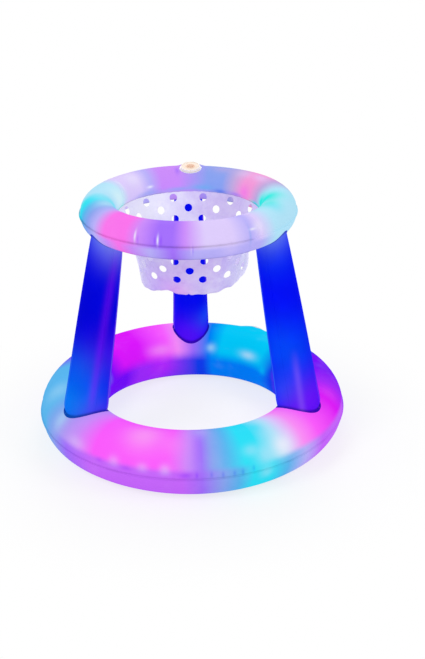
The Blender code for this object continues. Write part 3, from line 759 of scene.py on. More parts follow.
def ring_lift(ring, azimuth, section, form):
    """How far the film stands off the plain ellipse.

    Puckers start at each seam and die away up the film. They have random places, depths
    and lengths. Creases, cross welds and a slow unevenness are added to them.
    """
    rng = np.random.default_rng(7 if ring is BASE else 11)
    outer, inner = seam_gaps(section, ring)
    reach = DIP_REACH * MM
    lift = -DIP * MM * (np.exp(-outer / reach) + np.exp(-inner / reach))
    seams = (
        (outer, ring.radius + ring.half_width, OUTER_SPACING),
        (inner, ring.radius - ring.half_width, INNER_SPACING),
    )
    for gap, seam_radius, spacing in seams:
        count = int(TAU * seam_radius / (spacing * MM))
        for i in range(count):
            centre = TAU * (i + rng.uniform(-0.35, 0.35)) / count
            size = rng.uniform(*PUCKER_WIDTHS) * MM
            depth = rng.uniform(0.15, 1.0) ** 2 * form.pucker
            lengths = rng.uniform(*PUCKER_LENGTHS, 2) * MM
            length = np.where(np.sin(section) >= 0, lengths[0], lengths[1])
            dent = bell(wrapped(azimuth - centre) * seam_radius / size)
            lift = lift - depth * dent * np.exp(-gap / length)
    for a, s, wide, long, depth in CREASES[ring.name]:
        round_gap = wrapped(azimuth - math.radians(a)) * ring.radius / (wide * MM)
        along_gap = wrapped(section - math.radians(s)) * ring.half_height / (long * MM)
        lift = lift + depth * MM * bell(round_gap) * bell(along_gap)
    for a, bow, depth in CROSS_WELDS[ring.name]:
        middle = math.radians(a) + math.radians(bow) * np.cos(section - 0.9)
        gap = wrapped(azimuth - middle) * ring.radius
        lift = lift - depth * MM * bell(gap / (CROSS_HALF * MM))
        shoulder = (np.abs(gap) - SHOULDER * MM) / (SHOULDER_HALF * MM)
        lift = lift + 0.5 * depth * MM * bell(shoulder)
    slow = np.sin(3 * azimuth + section) + np.sin(5 * azimuth - 2 * section + 1.0)
    return lift + SLOW_WAVE * slow


def drawn_in(points, seat, flat_radius, level, reach):
    """Film pulled level round a fitting, and left alone beyond its reach."""
    local = seen_from(points, seat)
    away = np.hypot(local[..., 0], local[..., 1])
    t = np.clip((reach - away) / (reach - flat_radius), 0, 1)
    share = t * t * (3 - 2 * t) * (local[..., 2] > -reach)
    local[..., 2] += share * (level - local[..., 2])
    return placed(local, seat)


def with_hole(points, faces, seat, radius):
    """Removes the faces within a radius of a seat, and rounds the edge that is left."""
    local = seen_from(points, seat)
    away = np.hypot(local[:, 0], local[:, 1])
    close = (away < radius) & (local[:, 2] > -radius)
    cut = close[faces].sum(1) >= 2
    edge = np.intersect1d(faces[cut], faces[~cut])
    local[edge, :2] *= (radius / np.maximum(away[edge], 1e-9))[:, None]
    return placed(local, seat), faces[~cut]


# How a light and a valve draw the film in, in millimetres: flat radius, level, radius of the
# hole, and how far from its axis each draws, which the last row gives for the lights.
LIGHT_FLAT, LIGHT_LEVEL, LIGHT_HOLE = 32, -2.6, 30.3
VALVE_FLAT, VALVE_LEVEL, VALVE_HOLE, VALVE_REACH = 15, -0.4, 11.0, 30
LIGHT_REACH = {"base": 56, "rim": 45}
# Points round a ring's section.
RING_ROWS = 68
# The base's film levels off softly over this height above the ground.
GROUND = 0.4 * MM


def ring_film(ring, form):
    """The ring's film: an ellipse round Z plus its lift, on a grid that is finer at seams.

    The section angle of row t is 2 pi t - 0.3 sin(4 pi t).
    """
    t = np.arange(RING_ROWS)[:, None] / RING_ROWS
    section = TAU * t - 0.30 * np.sin(2 * TAU * t)
    azimuth = around(form.ring_columns)[None]
    section, azimuth = np.broadcast_arrays(section, azimuth)
    points = ring.point(azimuth, section, ring_lift(ring, azimuth, section, form))
    fittings = (
        (ring.light, LIGHT_FLAT, LIGHT_LEVEL, LIGHT_REACH[ring.name], LIGHT_HOLE),
        (ring.valve, VALVE_FLAT, VALVE_LEVEL, VALVE_REACH, VALVE_HOLE),
    )
    for seat, flat, level, reach, _ in fittings:
        points = drawn_in(points, seat, flat * MM, level * MM, reach * MM)
    points[..., 2] = np.logaddexp(0, points[..., 2] / GROUND) * GROUND
    points, faces = points.reshape(-1, 3), grid_faces(RING_ROWS, form.ring_columns)
    for seat, *_, hole in fittings:
        points, faces = with_hole(points, faces, seat, hole * MM)
    return points, faces


# A weld's flat lip: where it starts inside the film, its half thickness on rings and legs,
# and its wave. The inner seam's and a leg's stand out by these shares of the outer seam's.
LIP_START, RING_LIP_HALF, LEG_LIP_HALF, LIP_WAVE = -3 * MM, 0.45 * MM, 0.4 * MM, 0.25 * MM
INNER_LIP, LEG_LIP = 0.3, 0.4


def lip_outline(lip, half):
    """A flat lip's outline, with round edges."""
    corners = ((LIP_START, -half), (lip, -half), (lip, half), (LIP_START, half))
    return rounded(corners, half, 3)


def seam_strip(ring, form, inner):
    """A seam's pressed lip: a flat outline carried round the ring, waving up and down."""
    azimuth = around(form.ring_columns)
    out = stacked(np.cos(azimuth), np.sin(azimuth), 0.0)
    path = ring.point(azimuth, ring.inner_seam if inner else 0.0)
    path[:, 2] += LIP_WAVE * (np.sin(61 * azimuth) + np.sin(43 * azimuth + 1))
    outline = lip_outline(form.seam_lip * (INNER_LIP if inner else 1.0), RING_LIP_HALF)
    side = np.broadcast_to((0.0, 0.0, 1.0), out.shape)
    return carried(path, -out if inner else out, side, outline, True)


# How bright each seam of a ring is against its film.
WELD_SHADE = {
    "base": {"outer": 0.88, "inner": 1.0}, "rim": {"outer": 0.66, "inner": 0.66},
}


class HOOP_OT_rings(bpy.types.Operator):
    """Make the base float and the rim float, with their welded seams"""

    bl_idname = "hoop.rings"
    bl_label = "Rings"

    def execute(self, context):
        form = context.scene.hoop_form
        for ring in RINGS:
            name = ring.name
            film = add_piece(
                f"{name}_float", ring_film(ring, form), film_paint(ring),
                [f"{name}_top_panel", f"{name}_bottom_panel"], closed=False,
            )
            add_wall(film, form.film)
            for word, shade in WELD_SHADE[name].items():
                paint = film_paint(ring, f"{word}_weld", shade)
                strip = seam_strip(ring, form, word == "inner")
                add_piece(f"{name}_{word}_seam", strip, paint)
        return {"FINISHED"}


# Legs

# Painted light of the rings on each leg, and darker painted shade away from them: share of
# its length, angle about it, size, share and colour.
LEG_SPOTS = {
    "left": (
        (0.62, 15, 210, 0.70, "night"), (0.99, 66, 46, 0.66, "periwinkle"),
        (0.97, 122, 34, 0.75, "periwinkle"), (0.90, 105, 46, 0.20, "haze"),
        (0.16, 12, 80, 0.80, "azure"), (0.34, 30, 55, 0.28, "azure"),
        (0.42, 115, 60, 0.20, "violet"), (0.12, 92, 44, 0.34, "violet"),
    ),
    "right": (
        (1.0, -70, 52, 0.82, "periwinkle"), (0.88, -70, 60, 0.10, "azure"),
        (0.42, -85, 76, 0.26, "azure"), (0.22, -95, 50, 0.25, "azure"),
        (0.17, -30, 62, 0.66, "violet"), (0.10, -75, 50, 0.50, "violet"),
    ),
    "rear": (
        (0.6, 200, 200, 0.25, "night"), (0.15, 170, 56, 0.45, "violet"),
        (0.24, 235, 36, 0.22, "azure"), (0.05, 180, 30, 0.25, "violet"),
        (0.06, 255, 24, 0.6, "azure"),
    ),
}
# Bands down each leg. The broad streaks that face 60 degrees either way on the front legs
# are painted reflections of the rings' light; the rest are narrower darker and paler lines.
# Columns: the angle about it that they face, their middle there and what it moves by from
# foot to head, half width, lowest and highest share, share and colour.
LEG_BANDS = {
    "left": (
        (60, 10, 20, 10, 0.12, 0.95, 0.36, "violet"), (140, 0, 0, 7, 0.0, 0.6, 0.30, "violet"),
        (-22, 0, 0, 1.7, 0.0, 0.95, 0.50, "dusk"), (-8, 0, 0, 2.4, 0.0, 0.5, 0.16, "sky"),
        (143, 0, 0, 3.2, 0.0, 1.1, 0.52, "amethyst"),
    ),
    "right": (
        (-60, 3, 14, 9, -0.1, 0.44, 0.26, "amethyst"), (22, 0, 0, 1.7, 0.0, 0.9, 0.50, "dusk"),
        (10, 0, 0, 3.0, 0.0, 0.32, 0.25, "purple"), (-143, 0, 0, 3.0, 0.1, 0.95, 0.3, "sky"),
    ),
    "rear": (
        (104, 0, 0, 3.4, 0.0, 0.95, 0.45, "purple"), (256, 0, 0, 3.4, 0.3, 0.95, 0.4, "purple"),
    ),
}


# Over which shares of the length a band comes up and fades, and how far round the leg.
BAND_RISE, BAND_FALL, BAND_ROUND = 0.12, 0.15, 20 * MM
# The painted shade of the feet, by the distance from the base's film, and the film's cloud.
FOOT_SHADE, FOOT_NEAR, FOOT_FAR, LEG_CLOUD = 0.72, 1 * MM, 9 * MM, (0.3, 0.7, 0.94, 1.0)


def leg_paint(leg, word="film", shade=1.0):
    """Deep blue film with a painted glow, and painted light and reflections of both rings at
    its ends and along it.

    Painted shade darkens it towards the base's tube, by the tube's own equation in its
    section.
    """
    paint = Paint(
        f"leg_{leg.name}_{word}", specular_ior_level=0.0, coat_weight=0.02,
        coat_roughness=0.08, emission_strength=FILM_LIGHT,
    )
    spot = paint.spot()
    x, y, z = paint.parts(spot)
    colour = hue("leg")
    for share, angle, size, weight, name in LEG_SPOTS[leg.name]:
        place = leg.skin(np.array(math.radians(angle)), share)
        weight = paint.near(spot, place, size * MM) * weight
        colour = paint.mix(weight, colour, hue(name))
    local = paint.vector("SUBTRACT", spot, leg.foot, output="Vector")
    along = paint.vector("DOT_PRODUCT", local, leg.axes[:, 2]) / leg.length
    for angle, middle, lean, wide, low, high, weight, name in LEG_BANDS[leg.name]:
        a = math.radians(angle)
        out = leg.axes[:, 0] * math.cos(a) + leg.axes[:, 1] * math.sin(a)
        side = leg.axes[:, 1] * math.cos(a) - leg.axes[:, 0] * math.sin(a)
        off = paint.vector("DOT_PRODUCT", local, side) - along * (lean * MM) - middle * MM
        band = paint.bell(off / (wide * MM))
        band = band * paint.between(paint.vector("DOT_PRODUCT", local, out), 0.0, BAND_ROUND)
        band = band * paint.between(along, low, low + BAND_RISE)
        band = band * paint.between(along, high, high - BAND_FALL)
        colour = paint.mix(band * weight, colour, hue(name))
    across = (paint.hypot(x, y) - BASE.radius) / BASE.half_width
    up = (z - BASE.middle) / BASE.half_height
    gap = (paint.hypot(across, up) - 1.0) * BASE.half_height
    dark = paint.between(gap, FOOT_NEAR, FOOT_FAR, FOOT_SHADE * shade, shade)
    cloud = paint.between(paint.noise(spot, 16.0, 3.0), *LEG_CLOUD)
    gloss, skin = paint.noise(spot, 20.0), paint.noise(spot, 50.0, 3.0)
    colour = paint.scaled(colour, cloud * dark)
    paint.finish(colour, LEG_BASE, gloss, LEG_GLOSS, skin, LEG_SKIN)
    return paint


LEG_COLUMNS, LEG_ROWS = 144, 150
# How far over a ring's film a leg's film ends, and the pinch's depth and reach at the rim.
LANDING, PINCH, PINCH_REACH = 0.2 * MM, 1.0 * MM, 10 * MM
# Along the side welds: the leg's mean radius, the dip's depth and reach, and the ripple's
# height, reach and two lengths.
WELD_RADIUS, WELD_DIP, WELD_DIP_REACH = 45 * MM, 0.8 * MM, 4 * MM
RIPPLE, RIPPLE_REACH, RIPPLE_SHORT, RIPPLE_LONG = 0.55 * MM, 11 * MM, 5.2 * MM, 31 * MM
# Creases at a leg's head and foot: how many, and how far they reach in millimetres.
HEAD_CREASES, FOOT_CREASES = (26, 44), (18, 24)


def leg_film(leg):
    """The leg's skin between the two rings.

    Each column runs from where it lands on the base to where it lands on the rim. The
    film pinches at both ends, creases under the rim, and puckers along its side welds.
    """
    rng = np.random.default_rng(len(leg.name))
    angle = around(LEG_COLUMNS)[None]
    low = leg.landing(BASE, angle, leg.tuck(angle, 0.0), LANDING)
    high = leg.landing(RIM, angle, 0.0, LANDING)
    t = np.linspace(0, 1, LEG_ROWS)[:, None]
    share = low + (high - low) * (t - 0.10 * np.sin(TAU * t) / TAU * 2)
    foot_gap, head_gap = (share - low) * leg.length, (high - share) * leg.length
    grow = leg.tuck(angle, foot_gap) - PINCH * np.exp(-head_gap / PINCH_REACH)
    for side in (-1, 1):
        weld_gap = WELD_RADIUS * np.abs(wrapped(angle - side * math.pi / 2))
        ripple = np.sin(share * leg.length / RIPPLE_SHORT + 5 * side)
        ripple = ripple * np.sin(share * leg.length / RIPPLE_LONG + side)
        grow = grow - WELD_DIP * np.exp(-weld_gap / WELD_DIP_REACH)
        grow = grow + RIPPLE * ripple * np.exp(-weld_gap / RIPPLE_REACH)
    for gap, (count, reach) in ((head_gap, HEAD_CREASES), (foot_gap, FOOT_CREASES)):
        for _ in range(count):
            middle = rng.uniform(0, TAU)
            lean = rng.uniform(-0.9, 0.9)
            wide = rng.uniform(0.05, 0.11)
            depth = rng.uniform(-1.0, 1.0) * MM
            long = rng.uniform(0.35, 1.0) * reach * MM
            away = wrapped(angle - middle - lean * gap / 0.1)
            grow = grow + depth * np.exp(-((away / wide) ** 2) - gap / long)
    return leg.skin(angle, share, grow), grid_faces(LEG_ROWS, LEG_COLUMNS, False)


def foot_lip(leg, ring, reach, height):
    """The patch's lip round one end of a leg: a low bead that lies on the ring's film."""
    angle = around(LEG_COLUMNS)
    outline = np.array(
        ((-2.0, -0.5), (reach, -0.5), (reach, 0.35 * height), (0.6 * reach, height),
         (0.25 * reach, 0.8 * height), (-0.4, 1.6 * height), (-2.0, 1.2 * height))
    )
    outline = rounded(outline, 0.6, 3) * MM
    tuck = leg.tuck(angle, 0.0) if ring is BASE else 0.0
    rows = []
    for grow, lift in outline:
        share = leg.landing(ring, angle, grow + tuck, lift)
        rows.append(leg.skin(angle, share, grow + tuck))
    return np.stack(rows), grid_faces(len(rows), LEG_COLUMNS)


def side_welds(leg, form):
    """The two flat lips down a leg's sides: an outline carried along each side line."""
    parts = []
    for side in (-1, 1):
        angle = np.array(side * math.pi / 2)
        low = leg.landing(BASE, angle, 0.0, 0.0)
        high = leg.landing(RIM, angle, 0.0, 0.0)
        share = np.linspace(low, high, LEG_ROWS)
        path = leg.skin(angle, share, leg.tuck(angle, (share - low) * leg.length))
        path = path + LIP_WAVE * np.sin(share * 120)[:, None] * leg.axes[:, 0]
        out = np.broadcast_to(side * leg.axes[:, 1], path.shape)
        across = np.broadcast_to(leg.axes[:, 0], path.shape)
        outline = lip_outline(LEG_LIP * form.seam_lip, LEG_LIP_HALF)
        parts.append(carried(path, out, across, outline, False))
    return joined(parts)


# The lips of the end patches: word, ring, how far each reaches and how high, in millimetres.
LIPS = (("foot", BASE, 4.8, 1.1), ("head", RIM, 2.0, 0.9))


class HOOP_OT_legs(bpy.types.Operator):
    """Make the three blue legs, with their side welds and end patches"""

    bl_idname = "hoop.legs"
    bl_label = "Legs"

    def execute(self, context):
        form = context.scene.hoop_form
        for leg in LEGS:
            name = f"leg_{leg.name}"
            film = add_piece(
                f"{name}_film", leg_film(leg), leg_paint(leg),
                [f"{name}_outer_panel", f"{name}_inner_panel"], closed=False,
            )
            add_wall(film, form.film)
            weld = leg_paint(leg, "weld", 0.95)
            add_piece(f"{name}_side_welds", side_welds(leg, form), weld)
            # The end patches' lips take the leg's paint darkened to two thirds, as painted
            # shade.
            dark = leg_paint(leg, "patch", 0.66)
            for word, ring, reach, height in LIPS:
                lip, node = foot_lip(leg, ring, reach, height), f"{name}_{word}_patch"
                add_piece(f"{name}_{word}_lip", lip, dark, [node])
        return {"FINISHED"}


# Net

# Height and radius of the net's top at its weld, radius of the hem, and drop between them.
NET_TOP, NET_TOP_RADIUS, NET_HEM_RADIUS, NET_DROP = 0.62875, 0.1898, 0.136, 0.1778
# Cells round the net, each second one holed, rows of them, a row's drop, how far below the
# top the first row starts, and steps along a cell's side.
NET_CELLS, NET_ROWS, CELL_DROP, FIRST_EDGE = 28, 5, 0.0285, 0.00155
CELL_STEPS = 8
STRIP_BELOW = (NET_DROP - FIRST_EDGE) / CELL_DROP
# The crinkle: how many creases, the net's mean radius, and the way round it.
CREASE_COUNT, NET_MEAN = 120, 0.16
CREASE_ROUND = TAU * NET_MEAN
# The slow wave of its radius at the hem, and the hem's rise and fall and its frill.
NET_WAVE, HEM_SWAY, HEM_FRILL = 4 * MM, 3 * MM, 0.8 * MM
# Where the net's sides sag: angle and spread in radians, share of the drop and its spread,
# and how far outwards in millimetres.
NET_SAGS = (
    (math.pi, 0.9, 0.55, 0.40, -15), (0, 0.8, 0.45, 0.30, -9), (0, 0.8, 0.92, 0.35, 13),
)
# Where the hem is lifted: angle, half width in degrees, rise in millimetres, and how
# steeply the lift fades up the net.
HEM_LIFTS = ((-116, 13, 11, 3), (-50, 9, 6, 3), (-8, 32, 20, 2), (-91.5, 1.7, 4, 9))


def net_surface(x, y, form):
    """The net's shape from x in cells round it and y in cells below the first edge.

    The radius runs straight from the rim to the hem, plus slow waves that grow towards
    the hem, a sag inwards on one side and outwards on the other, and a crinkle of random
    straight creases. The hem is lifted in places, as bells of the angle.
    """
    angle = math.pi / 2 + TAU * x / NET_CELLS
    drop = np.maximum(FIRST_EDGE + y * CELL_DROP, 0)
    share = drop / NET_DROP
    radius = NET_TOP_RADIUS + (NET_HEM_RADIUS - NET_TOP_RADIUS) * share
    wave = np.cos(7 * angle) + np.sin(5 * angle)
    radius = radius + NET_WAVE * wave / 2 * share**2
    for middle, spread, height, reach, depth in NET_SAGS:
        sag = bell(wrapped(angle - middle) / spread) * bell((share - height) / reach)
        radius = radius + depth * MM * sag
    rng = np.random.default_rng(23)
    along = (angle % TAU) * NET_MEAN
    crinkle = 0 * along
    for _ in range(CREASE_COUNT):
        centre_x, centre_y = rng.uniform(0, CREASE_ROUND), rng.uniform(0, NET_DROP)
        lean = rng.normal(math.pi / 2, 0.7)
        long, wide = rng.uniform(14, 46) * MM, rng.uniform(2.2, 4.5) * MM
        depth = rng.uniform(-1, 1) * form.net_fold
        gap_x = (along - centre_x + CREASE_ROUND / 2) % CREASE_ROUND - CREASE_ROUND / 2
        gap_y = drop - centre_y
        length = gap_x * math.cos(lean) + gap_y * math.sin(lean)
        off = gap_x * math.sin(lean) - gap_y * math.cos(lean)
        crinkle = crinkle + depth * np.exp(-np.abs(off) / wide - (length / long) ** 2)
    radius = radius + crinkle * np.minimum(1, share * 5)
    height = NET_TOP - drop - HEM_SWAY * share * np.cos(2 * angle)
    height = height - HEM_FRILL * share**2 * np.sin(23 * angle)
    for middle, wide, rise, power in HEM_LIFTS:
        gap = np.degrees(wrapped(angle - math.radians(middle))) / wide
        height = height + rise * MM * share**power * bell(gap)
    return stacked(radius * np.cos(angle), radius * np.sin(angle), height)


def net_sleeve(form):
    """The punched sleeve: cells with a round hole and plain cells, in turn.

    A holed cell runs from its square edge to the circle; a plain one is a square grid.
    Strips above and below close the sleeve. Shared points are merged by their x and y.
    """
    line = np.arange(CELL_STEPS + 1) / CELL_STEPS - 0.5
    plain = np.stack(np.meshgrid(line, line), -1)
    flat, edge = np.full(CELL_STEPS, 0.5), line[:-1]
    sides = ((edge, -flat), (flat, edge), (-edge, flat), (-flat, -edge))
    square = np.concatenate([np.stack(side, 1) for side in sides])
    count = len(square)
    turn = -0.75 * math.pi + TAU * np.arange(count) / count
    circle = np.stack((np.cos(turn), np.sin(turn)), 1)
    shares = np.linspace(0, 1, 6)[:, None, None] ** 1.2
    parts = []

    def add(lattice, faces):
        flat_points = lattice.reshape(-1, 2)
        parts.append((np.concatenate((flat_points, np.zeros((len(flat_points), 1))), 1), faces))

    for row in range(NET_ROWS):
        share = (FIRST_EDGE + (row + 0.5) * CELL_DROP) / NET_DROP
        radius = NET_TOP_RADIUS - (NET_TOP_RADIUS - NET_HEM_RADIUS) * share
        size = form.hole_radius / np.array((radius * TAU / NET_CELLS, CELL_DROP))
        for cell in range(NET_CELLS):
            middle = np.array((cell, row + 0.5))
            if cell % 2 == (row + 1) % 2:
                hole = circle * size
                faces = grid_faces(len(shares), count, False)[:, ::-1]
                add(middle + hole + (square - hole) * shares, faces)
            else:
                add(middle + plain, grid_faces(CELL_STEPS + 1, CELL_STEPS + 1, False, False))
    columns = NET_CELLS * CELL_STEPS
    x = np.arange(columns + 1) / CELL_STEPS - 0.5
    for low, high, rows in ((-FIRST_EDGE / CELL_DROP, 0, 4), (NET_ROWS, STRIP_BELOW, 9)):
        strip = np.stack(np.meshgrid(x, np.linspace(low, high, rows)), -1)
        add(strip, grid_faces(rows, columns + 1, False, False))
    lattice, faces = joined(parts)
    keys = np.round(np.stack((lattice[:, 0] % NET_CELLS * 1000, lattice[:, 1] * 1000), 1))
    keys[:, 0] %= NET_CELLS * 1000
    _, first, back = np.unique(keys, axis=0, return_index=True, return_inverse=True)
    kept = lattice[first]
    return net_surface(kept[:, 0], kept[:, 1], form), back.reshape(-1)[faces]


# Painted light on the net, and a greyer patch at its right back: place in metres, size in
# millimetres, share and colour.
NET_SPOTS = (
    ((-0.06, -0.12, 0.47), 60, 0.45, "orchid"), ((-0.03, -0.13, 0.46), 36, 0.3, "blush"),
    ((0.02, -0.14, 0.56), 70, 0.3, "orchid"), ((0.13, -0.06, 0.51), 60, 0.75, "white"),
    ((-0.11, 0.11, 0.60), 125, 1.0, "white"), ((0.09, 0.12, 0.60), 80, 0.55, "mauve"),
)


# The net's painted glow, how much of its colour is paint, its roughness and its skin.
NET_LIGHT, NET_BASE, NET_GLOSS, NET_SKIN = 0.42, 0.56, (0.22, 0.4), 0.5 * MM
# Its white cloud and its cover: between which values each changes, and from what to what.
NET_CLOUD, NET_COVER = (0.35, 0.75, 0.0, 0.6), (0.3, 0.7, 0.84, 0.97)


def net_paint():
    """Thin milky film, painted as lit by the rim: lilac, pinker at the left hem, clear in part.
    """
    paint = Paint(
        "net_film", specular_ior_level=0.30, coat_weight=0.05, coat_roughness=0.12,
        emission_strength=NET_LIGHT,
    )
    spot = paint.spot()
    cloud = paint.noise(spot, 26.0, 4.0, 0.6)
    colour = paint.mix(paint.between(cloud, *NET_CLOUD), hue("net"), hue("white"))
    for centre, size, share, name in NET_SPOTS:
        weight = paint.near(spot, centre, size * MM) * share
        colour = paint.mix(weight, colour, hue(name))
    paint.set(alpha=paint.between(paint.noise(spot, 12.0), *NET_COVER))
    skin = paint.noise(spot, 130.0, 4.0, 0.6)
    paint.finish(colour, NET_BASE, cloud, NET_GLOSS, skin, NET_SKIN)
    return paint


class HOOP_OT_net(bpy.types.Operator):
    """Make the punched film net"""

    bl_idname = "hoop.net"
    bl_label = "Net"

    def execute(self, context):
        form = context.scene.hoop_form
        net = add_piece(
            "net_sleeve", net_sleeve(form), net_paint(), ["net"], closed=False
        )
        add_wall(net, form.film, 0.0)
        slant = math.hypot(NET_DROP, NET_TOP_RADIUS - NET_HEM_RADIUS)
        area = math.pi * (NET_TOP_RADIUS + NET_HEM_RADIUS) * slant
        area -= NET_CELLS / 2 * NET_ROWS * math.pi * form.hole_radius**2
        return {"FINISHED"}


# Lights

# Heights along a light's axis from the film, in millimetres, as in the CAD model.
COLLAR_TOP, FLANGE_UNDER, FLANGE_TOP = -1.5, -1.2, 0.8
LID_UNDER, LID_TOP, PLUG_END = 1.4, 4.0, -6.6
BUTTON_TOP, BUTTON_LIP, STEM_END = 5.2, 1.1, -5.1
HOUSING_END, HOUSING_FLOOR = -60.5, -58.3
# Steps round the turned pieces.
ROUND_STEPS, LID_STEPS, STOPPER_STEPS, FLOOR_STEPS = 96, 192, 64, 64

# Profiles of the turned pieces, as (radius, height) in millimetres.
# A rolled bead round the housing, and the skirt in the film:
COLLAR = (
    (25.5, COLLAR_TOP), (25.5, -3.0), (29.5, -3.0), (29.5, -16), (31, -16),
    (31, COLLAR_TOP - 0.8), (30.2, COLLAR_TOP),
)
# The flange on the collar, the long cup, and the ledge of the seal:
HOUSING = (
    (24.4, FLANGE_TOP), (24.4, -0.8), (22, -0.8), (22, HOUSING_FLOOR), (17, HOUSING_FLOOR),
    (17, HOUSING_END), (24, HOUSING_END), (24, FLANGE_UNDER), (28.5, FLANGE_UNDER),
    (28.5, FLANGE_TOP),
)
# The lid's plate, with its plug, a raised edge and a raised boss:
LID = (
    (8.8, LID_TOP), (8.8, LID_UNDER), (19.6, LID_UNDER), (19.6, PLUG_END), (21.6, PLUG_END),
    (21.6, LID_UNDER), (26.8, LID_UNDER), (26.8, LID_TOP - 0.5), (26.3, LID_TOP),
    (23.4, LID_TOP), (22.8, LID_TOP - 0.6), (12.4, LID_TOP - 0.6), (11.8, LID_TOP),
)
# The button's stem, its lip, and its domed cap with a thumb dish:
BUTTON = (
    (0, STEM_END), (2, STEM_END), (2, BUTTON_LIP - 1.2), (10.4, BUTTON_LIP - 1.2),
    (10.4, BUTTON_LIP), (8.4, BUTTON_LIP), (8.4, BUTTON_TOP - 1.1), (7.2, BUTTON_TOP - 0.1),
    (6.0, BUTTON_TOP), (4.6, BUTTON_TOP - 0.15), (2.4, BUTTON_TOP - 0.45),
    (0, BUTTON_TOP - 0.5),
)
# Grips round the lid, the radius from which they bite, how far they take to be full, how
# deep they are, and their half width as a share of the way from one to the next.
GRIPS, GRIP_START, GRIP_FADE, GRIP_DEPTH, GRIP_HALF = 8, 24.5 * MM, 2.3 * MM, 1.3 * MM, 0.085
# Tints on a light by the distance from its top, the last a painted highlight round the lid's
# edge: where each starts and is full, and from what to what.
BOSS_GLOW, BOSS_EDGE = (20 * MM, 10 * MM, 0.0, 0.3), (12.7 * MM, 12.1 * MM, 0.0, 0.6)
LID_EDGE_HIGHLIGHT, LID_HIGHLIGHT_FADE = (24 * MM, 26.5 * MM, 0.0, 0.7), (29 * MM, 28 * MM)


def turned_at(seat, profile, corner, closed=True):
    """A profile with rounded corners, turned round a seat's axis."""
    points, faces = turned(rounded(profile, corner, 4, closed) * MM, ROUND_STEPS, closed)
    return placed(points, seat), faces


def lid_shape(seat):
    """The lid: a turned plate with eight grips bitten in its edge, as bells of the angle."""
    points, faces = turned(rounded(LID, 0.35) * MM, LID_STEPS)
    angle = np.arctan2(points[..., 1], points[..., 0])
    away = np.hypot(points[..., 0], points[..., 1])
    bite = bell((((angle * GRIPS / TAU) + 0.5) % 1 - 0.5) / GRIP_HALF)
    near_edge = np.clip((away - GRIP_START) / GRIP_FADE, 0, 1)
    points[..., :2] *= (1 - GRIP_DEPTH * bite * near_edge / np.maximum(away, 1e-6))[..., None]
    return placed(points, seat), faces


def boss_tint(paint, spot, colour):
    """A ring of the button's rubber moulded on the lid's boss, and a painted highlight round
    the lid's edge, by the distance from each light's top."""
    for ring in RINGS:
        top = placed(np.array((0, 0, LID_TOP * MM)), ring.light)
        gap = paint.vector("DISTANCE", spot, top)
        warm = paint.between(gap, *BOSS_GLOW) + paint.between(gap, *BOSS_EDGE)
        colour = paint.mix(warm, colour, hue("salmon"))
        pale = paint.between(gap, *LID_EDGE_HIGHLIGHT) * paint.between(gap, *LID_HIGHLIGHT_FADE)
        colour = paint.mix(pale, colour, hue("white"))
    return colour


def cell_paint():
    """Steel brushed along the cells: noise drawn out along the height."""
    cell = Paint("cell_steel", metallic=1.0)
    sockets = {"Vector": cell.spot(), "Scale": (1.0, 1.0, 0.08)}
    line = cell.noise(cell.node("Mapping", sockets=sockets), 900.0)
    cell.set(
        base_color=cell.mix(line, (0.45, 0.46, 0.48), (0.66, 0.66, 0.68)),
        roughness=cell.between(line, 0.3, 0.7, 0.22, 0.36),
    )
    cell.bump(line, 0.02 * MM)
    return cell


def board_paint():
    """Green board with paler tracks, as the joints of a fine brick pattern."""
    board = Paint("board")
    spot = board.spot()
    sockets = {
        "Vector": spot, "Scale": 160.0, "Mortar Size": 0.04, "Color1": (0.01, 0.16, 0.06),
        "Color2": (0.01, 0.12, 0.05), "Mortar": (0.10, 0.34, 0.14),
    }
    board.set(
        base_color=board.node("TexBrick", sockets=sockets, output="Color"),
        roughness=board.between(board.noise(spot, 200.0), 0.3, 0.7, 0.3, 0.5),
    )
    return board


class HOOP_OT_lights(bpy.types.Operator):
    """Make each ring's light: collar, housing, lid and button, and finish its inside"""

    bl_idname = "hoop.lights"
    bl_label = "Lights"

    def execute(self, context):
        ivory = plain_paint(
            "ivory_plastic", hue("ivory"), 0.38, specular_ior_level=0.3, lit=0.45,
            tint=boss_tint,
        )
        salmon = plain_paint("button_rubber", hue("salmon"), 0.55, shift=0.2, lit=0.3)
        vinyl = plain_paint(
            "soft_vinyl", hue("vinyl"), 0.30, subsurface_weight=0.2, subsurface_scale=2 * MM,
            lit=0.3,
        )
        for ring in RINGS:
            seat, lid, button = ring.light, f"{ring.name}_lid", f"{ring.name}_button"
            cup, cap = turned_at(seat, HOUSING, 0.4), turned_at(seat, BUTTON, 0.4, False)
            pieces = (
                ("collar", "ring", turned_at(seat, COLLAR, 0.5), vinyl, "soft_vinyl", "float"),
                ("housing", "cup", cup, ivory, "ivory_plastic", "float"),
                ("lid", "cap", lid_shape(seat), ivory, "ivory_plastic", lid),
                ("button", "cap", cap, salmon, "button_rubber", button),
            )
            for word, form, shape, paint, slot, body in pieces:
                name = f"{ring.name}_light_{word}"
                add_piece(f"{name}_{form}", shape, paint, [name], body)
        self.dress_inside()
        return {"FINISHED"}

    @staticmethod
    def dress_inside():
        """Finishes for the CAD nodes that stay: seal, carrier, cells, board and lens."""
        cell = cell_paint()
        paints = {
            "seal": plain_paint("seal_rubber", (0.02, 0.02, 0.022), 0.62, shift=0.3),
            "carrier": plain_paint("black_plastic", (0.025, 0.025, 0.028), 0.42, shift=0.3),
            "lens": plain_paint(
                "lens_plastic", (0.80, 0.87, 0.97), 0.12, shift=0.04, lit=0.5, alpha=0.45
            ),
            "board": board_paint(), "cell_1": cell, "cell_2": cell, "cell_3": cell,
        }
        for ring in RINGS:
            for word, paint in paints.items():
                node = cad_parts[f"{ring.name}_light_{word}"]
                node.data.materials.clear()
                node.data.materials.append(paint.material)


# Valves

